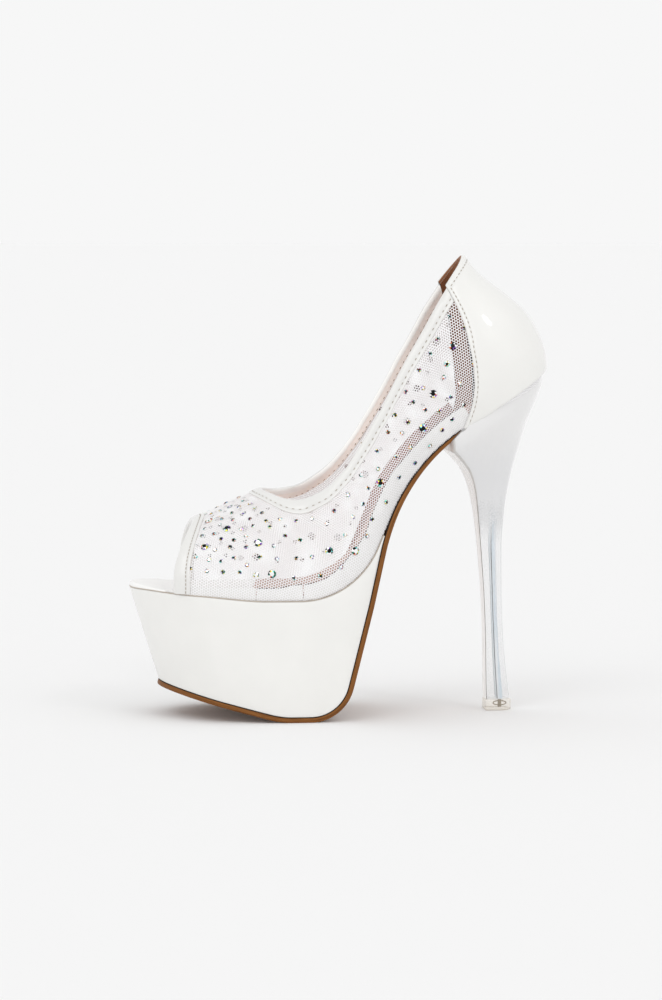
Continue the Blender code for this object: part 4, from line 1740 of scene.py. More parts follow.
@dataclass
class Bottom:
    """Platform, outsole and insole, cut along the outline of the foot bed."""

    last: Last
    wrap: Material
    sole: Material
    insole: Material
    sock: Material
    sole_line: Material
    cord: Material
    cord_sides: int = 8
    cord_inset: float = 0.14
    cord_radius: float = 0.24
    gap: float = 0.3
    seat_gap: float = 0.05
    sole_point: float = 0.12
    sole_blunt: float = 0.12
    sole_wall: float = 2.4
    insole_wall: float = 2.6
    proud: float = 0.8
    taper: float = 4.0
    platform_end: float = 131.0
    tread_break_x: float = -16.0
    wedge_end_x: float = 21.7
    shank_proud: float = 0.5
    shank_thin: float = 1.0
    tongue_end: float = 15.0
    inside_from: float = 17.0
    wall_clear: float = 1.65
    edge_round: float = 0.4
    insole_round: float = 1.2
    insole_tuck: float = 0.35
    sock_start: float = 59.0
    sock_margin: float = 0.6
    sock_wall: float = 0.35
    sock_corner: float = 7.0
    sock_slant: float = 4.0
    sock_slant_fade: float = 30.0
    toe_seam: float = 1.9
    toe_seam_from: float = 62.0
    toe_seam_full: float = 30.0
    toe_dip: float = 1.1
    toe_dip_length: float = 14.0
    tongue_swell: float = 0.8
    tongue_swell_length: float = 22.0
    toe_stations: int = 46
    ball_stations: int = 40
    arch_stations: int = 60
    side_swell: float = 0.35
    side_span: Limits = (0.06, 0.97)
    side_rows: int = 22
    round_rows: int = 6
    top_inset: float = 5.0
    least_height: float = 0.5
    merge_power: int = 4
    sole_margin: float = 3.0
    tread_shares: Triple = (0.0, 0.35, 0.7)
    tread_places: float = 40.0
    line_strips: int = 2
    bed_shares: Triple = (0.0, 0.4, 0.75)
    back_columns: int = 30
    notch_columns: int = 5
    bed_columns: int = 120
    rim_rows: int = 13
    sock_square: float = 0.8
    sock_lip: float = 0.995
    sock_flat: float = 0.97
    sock_bevel: float = 0.02
    sock_columns: int = 170
    sock_back_columns: int = 24
    sock_rows: int = 17
    # share of the height and inset
    foot_rows: tuple[Limits, ...] = ((0.0, 3.0), (0.0, 0.2), (0.004, 0.05), (0.012, 0.0))
    # inset and level
    edge_rows: tuple[Limits, ...] = (
        (3.0, 0.0), (0.4, 0.0), (0.12, 0.1), (0.0, 0.35), (0.0, 0.62), (0.02, 0.8), (0.12, 0.92),
        (0.4, 1.0), (3.0, 1.0),
    )

    def tread_along(self, along: Array) -> Array:
        """Distances along the tread that lie under distances along the platform's foot bed.

        Args:
            along: the distances along the foot bed.

        Returns:
            The distances along the tread.
        """
        known = (0.0, self.break_along(), self.platform_end)
        ends = self.last.tread.along_at_x(np.array((self.tread_break_x, self.wedge_end_x)))
        return np.interp(along, known, (0.0, *ends))

    def seam_lift(self, along: Array) -> Array:
        """How far the seam between platform and insole climbs towards the toe.

        Args:
            along: distances along the foot bed.

        Returns:
            The climb there.
        """
        climb = (along - self.toe_seam_from) / (self.toe_seam_full - self.toe_seam_from)
        share = np.clip(climb, 0.0, 1.0)
        near_tip = np.clip(1 - along / self.toe_dip_length, 0.0, 1.0)
        return self.toe_seam * share**2 * (3 - 2 * share) - self.toe_dip * near_tip**2

    def shank_wall(self, shares: Array) -> Array:
        """The outsole's wall behind the platform, which thins to a point under the heel's seat."""
        point = np.clip((1 - shares) / self.sole_point, self.sole_blunt, 1.0)
        return (self.sole_wall - self.shank_thin * shares**2) * point

    def break_along(self) -> float:
        """Where the platform's foot turns up, as a distance along the foot bed."""
        return float(self.last.bed.along_at_x(self.tread_break_x))

    def platform_halves(self, along: Array) -> tuple[Array, Array]:
        """Half the platform's width at its foot and at its top.

        Args:
            along: distances along the foot bed.

        Returns:
            The half widths at the foot and those at the top.
        """
        narrow = self.last.narrowing(along)
        top = self.last.outline(along) + self.proud * narrow
        turned = np.maximum(0.0, along - self.break_along()) / (self.platform_end - self.break_along())
        return top - self.taper * narrow * (1 - turned), top

    def toe_steps(self) -> Array:
        """Distances that step evenly round the toe, from its tip."""
        turns = np.linspace(0, math.pi / 2, self.toe_stations)
        return self.last.toe_round * (1 - np.cos(turns))

    def platform_steps(self) -> Array:
        """Distances along the foot bed from the tip to the thin end of the wedge.

        Returns:
            The distances.
        """
        ball = np.linspace(self.last.toe_round, self.break_along(), self.ball_stations)[1:-1]
        return np.concatenate((
            self.toe_steps(), ball, np.linspace(self.break_along(), self.platform_end, self.arch_stations)
        ))

    @staticmethod
    def inset(along: Array, half: Array, inset: float) -> tuple[Array, Array]:
        """An outline drawn in by a distance, square to itself.

        Args:
            along: distances along the outline's middle line, from the tip.
            half: half widths there.
            inset: how far to draw it in.

        Returns:
            The new distances and half widths.
        """
        ahead = unit(np.stack((np.gradient(along), np.gradient(half)), axis=-1))
        ahead[0] = (0.0, 1.0)
        return along + inset * ahead[:, 1], np.maximum(half - inset * ahead[:, 0], 0.0)

    @staticmethod
    def both_sides(x: Array, y_half: Array, z: Array, centre: Array) -> Array:
        """A line round the outline, from the outer end past the tip to the inner end.

        Args:
            x: its x values on one side, from the tip.
            y_half: half widths there.
            z: its heights there.
            centre: y of the middle line there.

        Returns:
            Its points.
        """
        outer = np.stack((x, centre - y_half, z), axis=-1)
        inner = np.stack((x, centre + y_half, z), axis=-1)
        return np.concatenate((outer[::-1], inner[1:]))

    def make_platform(self) -> None:
        """The wrapped platform, with a rounded top edge and a faint swell."""
        steps = self.platform_steps()
        rows = [*self.foot_rows, *((share, 0.0) for share in np.linspace(*self.side_span, self.side_rows))]
        lines = []
        for share, inset in rows:
            swell = 0.0 if inset else self.side_swell * math.sin(math.pi * share)
            lines.append(self.platform_line(steps, share, inset - swell, 0.0))
        for turn in np.linspace(0, math.pi / 2, self.round_rows):
            inset, drop = self.edge_round * (1 - math.cos(turn)), self.edge_round * (1 - math.sin(turn))
            lines.append(self.platform_line(steps, 1.0, inset, drop))
        lines.append(self.platform_line(steps, 1.0, self.top_inset, 0.0))
        piece = Piece("platform_wrap")
        piece.patch(np.stack(lines, axis=1))
        piece.build([self.wrap], "platform", Slot.PLATFORM)

    def platform_line(self, steps: Array, share: float, inset: float, drop: float) -> Array:
        """One line round the platform at a share of its height.

        Args:
            steps: distances along the foot bed.
            share: the share of the height, from the outsole to the foot bed.
            inset: how far the line is drawn in.
            drop: how far it lies below that share.

        Returns:
            The line's points.
        """
        foot, top = self.platform_halves(steps)
        along, half = self.inset(steps, foot + share * (top - foot), inset)
        along = np.minimum(along, self.platform_end)
        low = np.array(self.last.tread.at(self.tread_along(along), self.sole_wall + self.gap))
        high = np.array(self.last.bed.at(along, self.seam_lift(along) - self.gap))
        height = np.linalg.norm(high - low, axis=0)
        place = np.maximum(share - drop / np.maximum(height, self.least_height), 0.0)
        x, z = low + place * (high - low)
        return self.both_sides(x, half, z, self.last.size("centre", along))

    def sole_outline(self) -> tuple[Array, Array, Array, Array]:
        """The outsole's stations.

        Returns:
            Distances along the tread, half widths, middle lines and walls.
        """
        steps = self.platform_steps()
        start = float(self.tread_along(np.array(self.platform_end)))
        start_half = float(self.platform_halves(np.array(self.platform_end))[0])
        shares = np.linspace(0, 1, self.arch_stations)[1:]
        runs = start + shares * (self.last.tread.length - start)
        along = self.last.bed.along_at_x(self.last.tread.at(runs)[0])
        half = self.last.size("tread", along) + self.shank_proud
        half = half + (1 - shares) ** self.merge_power * (start_half - half)
        return (
            np.concatenate((self.tread_along(steps), runs)),
            np.concatenate((self.platform_halves(steps)[0], half)),
            np.concatenate((self.last.size("centre", steps), self.last.size("centre", along))),
            np.concatenate((np.full(len(steps), self.sole_wall), self.shank_wall(shares))),
        )

    def make_outsole(self) -> None:
        """The outsole: its tread, its striped edge and the margin under the platform."""
        runs, half, centre, wall = self.sole_outline()
        around = np.concatenate((runs[::-1], runs[1:]))
        rows = [(share, self.sole_margin, 0.0) for share in self.tread_shares]
        rows += [(1.0, inset, level) for inset, level in self.edge_rows]
        lines, places = [], []
        for share, inset, level in rows:
            along, width = self.inset(runs, half, inset)
            along = np.minimum(along, self.last.tread.length)
            x, z = self.last.tread.at(along, self.sole_wall - wall * (1 - level))
            lines.append(self.both_sides(x, share * width, z, centre))
            across = (1 - share) * self.tread_places + inset + level * self.sole_wall
            places.append(np.stack((around, np.full(len(around), across)), axis=-1))
        piece = Piece("outsole_leather")
        leather, line = 0, 1
        marks = [leather] * (len(rows) - 1 - self.line_strips) + [line] * self.line_strips
        piece.patch(np.stack(lines, axis=1), marks, places=np.stack(places, axis=1))
        edge = lines[len(self.tread_shares):]
        piece.patch(np.stack([row[[0, -1]] for row in edge], axis=0))
        piece.build([self.sole, self.sole_line], "outsole", Slot.OUTSOLE)

    def insole_half(self, along: Array) -> Array:
        """Half the insole's width: proud at the tongue, and inside the upper behind it.

        Args:
            along: distances along the foot bed.

        Returns:
            The half widths.
        """
        tongue = self.last.outline(along) + self.proud * self.last.narrowing(along)
        inside = self.last.outline(along) - self.wall_clear
        share = np.clip((along - self.tongue_end) / (self.inside_from - self.tongue_end), 0.0, 1.0)
        return tongue + share * (inside - tongue)

    def make_insole(self) -> None:
        """The insole, with a round-edged tongue that shows at the toe."""
        pivot = self.last.pivot
        reach = self.last.heel_reach - self.wall_clear
        turns = np.linspace(0, math.pi / 2, self.back_columns)[1:]
        notch = np.linspace(self.tongue_end, self.inside_from, self.notch_columns)
        steps = np.concatenate((
            np.unique(np.concatenate((self.toe_steps(), notch))),
            np.linspace(self.last.toe_round, pivot, self.bed_columns)[1:],
        ))
        behind = self.insole_half(np.array(pivot)) * np.cos(turns)
        half = np.concatenate((self.insole_half(steps), behind))
        steps = np.concatenate((steps, pivot + reach * np.sin(turns)))
        rows = [(share, self.insole_round, self.insole_wall) for share in self.bed_shares]
        for turn in np.linspace(math.pi / 2, -math.pi / 2, self.rim_rows):
            round_by = self.insole_round if turn > 0 else self.insole_tuck
            level = self.insole_wall * (1 + math.sin(turn)) / 2
            rows.append((1.0, round_by * (1 - math.cos(turn)), level))
        lines = []
        for share, inset, level in rows:
            along, width = self.inset(steps, half, inset)
            lift = self.seam_lift(along)
            swell = self.tongue_swell * np.clip(1 - along / self.tongue_swell_length, 0.0, 1.0)
            x, z = self.last.bed.at(along, lift + level * (1 + (swell - lift) / self.insole_wall))
            lines.append(self.both_sides(x, share * width, z, self.last.size("centre", along)))
        piece = Piece("insole_sock")
        piece.patch(np.stack(lines, axis=1))
        piece.build([self.insole], "insole", Slot.INSOLE)

    def make_sock(self) -> None:
        """The thin sock glued on the insole behind the toes, with a slanted and rounded front."""
        turns = np.linspace(0, math.pi / 2, self.sock_back_columns)[1:]
        reach = self.last.heel_reach - self.wall_clear - self.sock_margin
        steps = np.linspace(self.sock_start, self.last.pivot, self.sock_columns)
        corner = np.clip((steps - self.sock_start) / self.sock_corner, 0.0, 1.0)
        rounding = self.sock_square + (1 - self.sock_square) * np.sqrt(1 - (1 - corner) ** 2)
        half = (self.insole_half(steps) - self.sock_margin) * rounding
        steps = np.concatenate((steps, self.last.pivot + reach * np.sin(turns)))
        half = np.concatenate((half, half[-1] * np.cos(turns)))
        flat = np.linspace(-self.sock_flat, self.sock_flat, self.sock_rows)
        across = np.concatenate(((-1.0, -self.sock_lip), flat, (self.sock_lip, 1.0)))
        level = self.insole_wall + self.sock_wall * np.minimum(1.0, (1 - np.abs(across)) / self.sock_bevel)
        fade = np.clip(1 - (steps - self.sock_start) / self.sock_slant_fade, 0.0, 1.0)[:, None]
        along = steps[:, None] + self.sock_slant * across * fade
        x, z = self.last.bed.at(along, level)
        y = self.last.size("centre", along) + half[:, None] * across
        piece = Piece("sock_lining")
        piece.patch(np.stack((x, y, z), axis=-1))
        piece.build([self.sock])

    def make_seam(self) -> None:
        """A fine beige strand in the seam between the platform and what stands on it, partly the welt and
        partly painted shade in the crease.
        """
        steps = self.platform_steps()
        _, top = self.platform_halves(steps)
        lines = []
        for turn in np.linspace(0, 2 * math.pi, self.cord_sides, endpoint=False):
            inset = self.cord_inset - self.cord_radius * math.cos(turn)
            along, half = self.inset(steps, top, inset)
            level = self.seam_lift(along) + self.cord_radius * math.sin(turn)
            x, z = self.last.bed.at(along, level)
            lines.append(self.both_sides(x, half, z, self.last.size("centre", along)))
        piece = Piece("feather_seam")
        piece.patch(np.stack(lines, axis=1), ring=True)
        piece.build([self.cord])

    def build(self) -> None:
        """Builds the bottom's pieces in order."""
        self.make_platform()
        self.make_seam()
        self.make_outsole()
        self.make_insole()
        self.make_sock()


HEEL_COLUMNS = ("front_x", "front_z", "back_x", "back_z", "half")
HEEL_ROWS = (
    (52.0, 126.0, 98.6, 158.9, 26.0),
    (56.7, 121.5, 95.6, 150.5, 21.8),
    (61.7, 115.0, 91.2, 140.0, 16.8),
    (64.7, 106.5, 87.2, 127.0, 12.6),
    (66.2, 98.0, 83.4, 113.0, 9.6),
    (67.6, 86.0, 80.7, 97.0, 7.4),
    (68.9, 72.0, 79.4, 78.0, 6.3),
    (70.3, 52.0, 79.6, 52.0, 5.8),
    (71.0, 32.0, 80.6, 32.0, 5.7),
    (71.2, 14.0, 82.4, 14.0, 5.9),
    (71.4, 5.5, 83.5, 5.5, 6.0),
)


@dataclass
class Heel:
    """The slim heel with a bluish sheet inside it as painted refraction, and the wear piece with its steel
    pin and a wire ring that stands in for the pin's refracted image.
    """

    bottom: Bottom
    cuts: CutLines
    shell: Material
    breast: Material
    breast_line: Material
    streak: Material
    streak_line: Material
    tip: Material
    tip_edge: Material
    steel: Material
    breast_flat: float = 0.88
    breast_side: float = 0.97
    breast_corner: float = 0.08
    widest: float = 0.42
    rings: int = 90
    streak_start: float = 0.21
    streak_front: float = 0.46
    streak_back: float = 0.74
    streak_half: float = 0.55
    streak_edge: float = 0.15
    line_strips: int = 2
    tip_front_x: float = 71.2
    tip_back_x: float = 84.2
    tip_half: float = 6.2
    # inset and height
    tip_rows: tuple[Limits, ...] = (
        (0.5, 0.0), (0.12, 0.12), (0.0, 0.5), (0.0, 2.4), (0.0, 4.6), (0.12, 5.05), (0.5, 5.2),
    )
    darker_foot_rows: int = 2
    # share of the radius and height
    pin_rows: tuple[Limits, ...] = ((0.3, 1.0), (1.0, 1.1), (1.0, 4.7), (0.3, 4.8))
    pin_points: int = 24
    wire_points: int = 10
    corner_points: int = 7
    side_points: int = 10
    back_points: int = 20
    breast_middle: float = 0.4
    pin_x: float = 78.8
    pin_radius: float = 0.9
    ring_width: float = 3.1
    ring_height: float = 1.05
    ring_wire: float = 0.3
    ring_middle: float = 2.9

    def shares(self) -> Array:
        """The outline of half a section, from breast to back.

        Returns:
            Rows of shares of the depth and of the half width.
        """
        corner = np.linspace(0, math.pi / 2, self.corner_points)
        breast = np.stack((
            self.breast_corner * (1 - np.cos(corner)),
            self.breast_flat + (self.breast_side - self.breast_flat) * np.sin(corner),
        ), axis=-1)
        depth = np.linspace(self.breast_corner, self.widest, self.side_points)[1:]
        short = (self.widest - depth) / (self.widest - self.breast_corner)
        side = np.stack((depth, 1 - (1 - self.breast_side) * short**2), axis=-1)
        turns = np.linspace(0, math.pi / 2, self.back_points)[1:]
        back = np.stack((self.widest + (1 - self.widest) * np.sin(turns), np.cos(turns)), axis=-1)
        middle = np.array(((0.0, 0.0), (0.0, self.breast_middle)))
        return np.concatenate((middle, breast, side, back))

    def sizes(self) -> dict[str, SmoothCurve]:
        """The heel's sizes from its top at 0 to its foot at 1.

        Returns:
            A curve for each column of the table.
        """
        table = np.array(HEEL_ROWS)
        run = travelled((table[:, [0, 1]] + table[:, [2, 3]]) / 2)
        return {name: SmoothCurve(run / run[-1], table[:, i]) for i, name in enumerate(HEEL_COLUMNS)}

    def ring(self, front: Array, back: Array, half: float, shares: Array) -> Array:
        """A section between a front and a back point, near side first.

        Args:
            front: x and z of the front point.
            back: x and z of the back point.
            half: half its width.
            shares: the outline of half of it.

        Returns:
            Its points.
        """
        depth, width = shares.T
        points = front + depth[:, None] * (back - front)
        y = half * width
        near = np.stack((points[:, 0], -y, points[:, 1]), axis=-1)
        far = np.stack((points[:, 0], y, points[:, 1]), axis=-1)[-2:0:-1]
        return np.concatenate((near, far))

    def loft(self, start: float, end: float, front: float, back: float, half: float) -> Array:
        """Rings down a stretch of the heel.

        Args:
            start: the share of the heel's height where it begins, from the top.
            end: the share where it ends.
            front: the share of the depth where each ring begins.
            back: the share of the depth where each ring ends.
            half: the share of the half width.

        Returns:
            The rings' points.
        """
        sizes = self.sizes()
        rings = []
        for place in np.linspace(start, end, self.rings):
            size = {name: float(curve(place)) for name, curve in sizes.items()}
            breast = np.array((size["front_x"], size["front_z"]))
            rear = np.array((size["back_x"], size["back_z"]))
            depth = rear - breast
            width = half * size["half"]
            rings.append(self.ring(breast + front * depth, breast + back * depth, width, self.shares()))
        return np.stack(rings)

    def seat_under(self, x: Array) -> Array:
        """The highest that the heel may reach under the foot bed and the end of the outsole.

        Args:
            x: where along the shoe.

        Returns:
            The z values.
        """
        last, bottom = self.bottom.last, self.bottom
        tread = last.tread
        end_x = float(tread.at(tread.length)[0])
        start = float(bottom.tread_along(np.array(bottom.platform_end)))
        share = (tread.along_at_x(x) - start) / (tread.length - start)
        under = bottom.sole_wall - bottom.shank_wall(share) - bottom.seat_gap
        moved = [float(tread.height_at_x(at, below)) for at, below in zip(x, under)]
        seat = last.bed.height_at_x(x, -bottom.seat_gap) + self.cuts.seat_line(x)
        return np.where(x > end_x, seat, moved)

    def make_block(self) -> None:
        """The clear heel, with its top fitted to its seat."""
        grid = self.loft(0.0, 1.0, 0.0, 1.0, 1.0)
        grid[0, :, 2] = self.seat_under(grid[0, :, 0])
        piece = Piece("heel_block")
        # The breast's flat faces take a pale finish with emission, painted light for the light through the
        # clear breast; its corner strips take painted refraction shade.
        shell, flat, line = 0, 1, 2
        depth, width = self.shares().T
        half = np.where(width[1:] <= self.breast_flat, flat, shell)
        half[depth[1:] > self.breast_corner] = shell
        first = int(np.argmax(depth > 0.0))
        half[first:first + self.line_strips] = line
        piece.patch(grid, np.concatenate((half, half[::-1])).tolist(), ring=True)
        piece.cap(grid[0])
        piece.cap(grid[-1])
        piece.build([self.shell, self.breast, self.breast_line], "heel", Slot.HEEL)

    def make_streak(self) -> None:
        """A bluish sheet inside the clear stem that paints the refraction seen through it, with painted
        shade along its front corners.
        """
        streak = self.loft(self.streak_start, 1.0, self.streak_front, self.streak_back, self.streak_half)
        depth, width = self.shares().T
        corner = (depth[:-1] < self.streak_edge) & (width[:-1] > self.breast_flat / 2)
        piece = Piece("heel_streak")
        piece.patch(streak, np.concatenate((corner, corner[::-1])).astype(int).tolist(), ring=True)
        piece.build([self.streak, self.streak_line])

    def make_tip(self) -> None:
        """The wear piece, with its edges rounded."""
        rings = []
        for inset, z in self.tip_rows:
            front, back = np.array(((self.tip_front_x + inset, z), (self.tip_back_x - inset, z)))
            rings.append(self.ring(front, back, self.tip_half - inset, self.shares()))
        rings = np.stack(rings)
        piece = Piece("tip_block")
        clear, darker_foot = 0, 1
        # The lowest rows take a darker finish at the tip's foot.
        piece.patch(rings[:self.darker_foot_rows + 1], darker_foot, ring=True)
        piece.patch(rings[self.darker_foot_rows:], clear, ring=True)
        piece.cap(rings[0])
        piece.cap(rings[-1])
        piece.build([self.tip, self.tip_edge], "heel_tip", Slot.TIP)

    def make_pins(self) -> None:
        """The steel pin that holds the tip, and a wire ring round it that stands in for the pin's image
        refracted in the clear tip.
        """
        piece = Piece("tip_pins")
        turns = np.linspace(0, 2 * math.pi, self.pin_points, endpoint=False)
        circle = self.pin_radius * np.stack((np.cos(turns), np.sin(turns), np.zeros_like(turns)), axis=-1)
        centre = np.array((self.pin_x, 0.0, 0.0))
        pin = [centre + share * circle + (0.0, 0.0, z) for share, z in self.pin_rows]
        piece.patch(np.stack(pin), ring=True)
        wire = np.linspace(0, 2 * math.pi, self.wire_points, endpoint=False)
        swell, y = self.ring_wire * np.cos(wire), self.ring_wire * np.sin(wire)
        loop = []
        for turn in np.append(turns, 0.0):
            x = (self.ring_width + swell) * math.cos(turn)
            z = (self.ring_height + swell) * math.sin(turn) + self.ring_middle
            loop.append(centre + np.stack((x, y, z), axis=-1))
        piece.patch(np.stack(loop), ring=True)
        piece.build([self.steel])

    def build(self) -> None:
        """Builds the heel's pieces in order."""
        self.make_block()
        self.make_streak()
        self.make_tip()
        self.make_pins()


# Pixels of the stones in the photograph, toe first, as x and y
LARGE_STONES = (
    (209, 521), (205, 547), (227, 529), (258, 543), (272, 574), (329, 551), (355, 551), (380, 483),
    (423, 428), (433, 394), (453, 346),
)
MEDIUM_STONES = ((230, 507), (256, 575), (447, 364))
SMALL_STONES = (
    (191, 568), (196, 557), (202, 536), (205, 529), (211, 514), (207, 571), (209, 560), (215, 550),
    (214, 534), (220, 511), (222, 519), (220, 525), (221, 539), (221, 561), (223, 572), (230, 547),
    (234, 540), (234, 558), (232, 513), (233, 520), (239, 507), (239, 498), (243, 501), (244, 513),
    (241, 529), (240, 572), (246, 536), (246, 547), (247, 565), (250, 504), (250, 519), (253, 526),
    (255, 508), (260, 557), (262, 513), (266, 521), (270, 527), (274, 546), (277, 559), (280, 519),
    (285, 536), (294, 578), (296, 521), (296, 558), (300, 540), (312, 519), (312, 557), (320, 576),
    (327, 524), (334, 511), (341, 567), (345, 535), (348, 495), (353, 517), (361, 475), (363, 504),
    (368, 488), (367, 536), (372, 519), (378, 469), (377, 451), (386, 502), (388, 432), (395, 415),
    (396, 457), (399, 477), (402, 433), (406, 392), (408, 422), (410, 447), (413, 402), (415, 463),
    (419, 370), (423, 388), (425, 410), (430, 354), (430, 446), (438, 339), (439, 411), (442, 430),
    (444, 377), (450, 317), (451, 397), (452, 419), (460, 384), (464, 328), (464, 405), (471, 345),
    (474, 365),
)
# Facet colours: black and white are painted dark reflections and glints, the rest the coating's hues.
FACET_COLOURS = (
    # share, red, green, blue
    (0.24, 0.006, 0.008, 0.008),
    (0.32, 0.970, 0.970, 0.980),
    (0.10, 0.030, 0.220, 0.130),
    (0.09, 0.850, 0.680, 0.100),
    (0.09, 0.280, 0.780, 0.740),
    (0.07, 0.750, 0.160, 0.050),
    (0.09, 0.280, 0.120, 0.550),
)
DARK_REFLECTION_FACET, GLINT_FACET = 0, 1


@dataclass
class Stones:
    """The flat-backed crystals glued to the net, charted on the outer side and mirrored on the inner."""

    last: Last
    view: Viewpoint
    finish: Material
    sides: int = 8
    table: float = 0.52
    back: float = 0.96
    girdle: float = 0.14
    crown: float = 0.42
    lift: float = 0.12
    dark_reflection_tables: float = 0.6
    foil: Colour = (0.32, 0.32, 0.34)
    seed: int = 7
    search_along: Limits = (20.0, 225.0)
    search_rise: Limits = (-1.0, 1.5)
    search_columns: int = 240
    search_rows: int = 90
    search_rounds: int = 6
    search_step: float = 0.01
    longest_move: Limits = (2.0, 0.1)
    steadying: float = 1e-6
    heading_step: float = 0.05

    def form(self) -> tuple[Array, list[tuple[int, ...]]]:
        """One crystal of radius one: back, girdle, crown facets and table.

        Returns:
            Its points and its faces.
        """
        count = self.sides
        turns = np.linspace(0, 2 * math.pi, count, endpoint=False)
        girdle = np.stack((np.cos(turns), np.sin(turns), np.full(count, self.girdle)), axis=-1)
        turns = turns + math.pi / count
        crown = (self.table * np.cos(turns), self.table * np.sin(turns), np.full(count, self.crown))
        points = np.concatenate((girdle * (self.back, self.back, 0.0), girdle, np.stack(crown, axis=-1)))
        faces: list[tuple[int, ...]] = [tuple(range(count))[::-1]]
        for i in range(count):
            ahead = (i + 1) % count
            faces.append((i, ahead, count + ahead, count + i))
            faces.append((count + i, count + ahead, 2 * count + i))
            faces.append((count + ahead, 2 * count + ahead, 2 * count + i))
        faces.append(tuple(range(2 * count, 3 * count)))
        return points, faces

    def seen(self, along: Array, rise: Array) -> Array:
        """The pixels at which places on the outer side of the last are seen."""
        return self.view.project(self.last.point(along, Side.OUTER, rise))

    def places(self, pixels: Array) -> tuple[Array, Array]:
        """Finds the places on the outer side of the last that the camera sees at pixels.

        Args:
            pixels: rows of x and y.

        Returns:
            The distances along the foot bed and the rises.
        """
        columns = np.linspace(*self.search_along, self.search_columns)
        rows = np.linspace(*self.search_rise, self.search_rows)
        along, rise = (grid.ravel() for grid in np.meshgrid(columns, rows, indexing="ij"))
        away = np.linalg.norm(self.seen(along, rise) - pixels[:, None], axis=-1)
        nearest = np.argmin(away, axis=1)
        along, rise = along[nearest], rise[nearest]
        step = self.search_step
        far, high = self.longest_move
        for _ in range(self.search_rounds):
            here = self.seen(along, rise)
            by_along = (self.seen(along + step, rise) - here) / step
            by_rise = (self.seen(along, rise + step) - here) / step
            slopes = np.stack((by_along, by_rise), axis=-1) + self.steadying * np.eye(2)
            move = np.linalg.solve(slopes, (pixels - here)[..., None])[..., 0]
            along = along + np.clip(move[:, 0], -far, far)
            rise = np.clip(rise + np.clip(move[:, 1], -high, high), -1.0, math.pi / 2)
        return along, rise

    def tints(self, count: int, faces: int, random: np.random.Generator) -> Array:
        """Facet colours of stones, among them painted dark reflections and glints, with a plain foil back.

        Args:
            count: how many stones.
            faces: how many faces each has.
            random: the source of chance.

        Returns:
            A colour for each face of each stone.
        """
        shares, *_ = np.array(FACET_COLOURS).T
        picks = random.choice(len(shares), (count, faces), p=shares / shares.sum())
        # Each table is painted as a dark reflection or a glint.
        picks[:, -1] = np.where(random.random(count) < self.dark_reflection_tables, DARK_REFLECTION_FACET, GLINT_FACET)
        tints = np.array(FACET_COLOURS)[picks, 1:]
        tints[:, 0] = self.foil
        return tints

    def set_side(self, side: Side, along: Array, rise: Array, radius: Array) -> None:
        """Glues the charted stones to one side of the net.

        Args:
            side: the side of the foot.
            along: distances along the foot bed.
            rise: rises there.
            radius: the stones' radii.
        """
        random = np.random.default_rng(self.seed + (side is Side.INNER))
        form, faces = self.form()
        up = self.last.normal(along, side, rise)
        step = self.heading_step
        ahead = self.last.point(along + step, side, rise) - self.last.point(along - step, side, rise)
        across = unit(np.cross(up, ahead))
        ahead = np.cross(across, up)
        spin = random.uniform(0, 2 * math.pi, len(along))[:, None]
        first = np.cos(spin) * ahead + np.sin(spin) * across
        frames = np.stack((first, np.cross(up, first), up), axis=1) * radius[:, None, None]
        origins = self.last.point(along, side, rise) + self.lift * up
        piece = Piece(f"stones_{side.name.lower()}")
        piece.stamp(form, faces, origins, frames, self.tints(len(along), len(faces), random))
        piece.build([self.finish], sharp=None, weld=False)

    def build(self) -> None:
        """Reads the chart and sets both sides."""
        charts = {
            StoneSize.LARGE: LARGE_STONES, StoneSize.MEDIUM: MEDIUM_STONES, StoneSize.SMALL: SMALL_STONES,
        }
        pixels = np.concatenate([np.array(chart, float) for chart in charts.values()])
        radius = np.concatenate([np.full(len(chart), size.value / 2) for size, chart in charts.items()])
        along, rise = self.places(pixels)
        for side in Side:
            self.set_side(side, along, rise, radius)


@dataclass(frozen=True)
class Sun:
    """A large soft disc of light far away, with its angles in degrees."""

    name: str
    strength: float
    disc: float
    azimuth: float
    elevation: float
    shadow: bool = True

    def build(self) -> None:
        """Adds the light."""
        data = bpy.data.lights.new(self.name, "SUN")
        data.energy = self.strength
        data.angle = math.radians(self.disc)
        data.use_shadow = self.shadow
        light = bpy.data.objects.new(self.name, data)
        light.rotation_euler = (math.pi / 2 - math.radians(self.elevation), 0.0, math.radians(self.azimuth))
        bpy.context.scene.collection.objects.link(light)


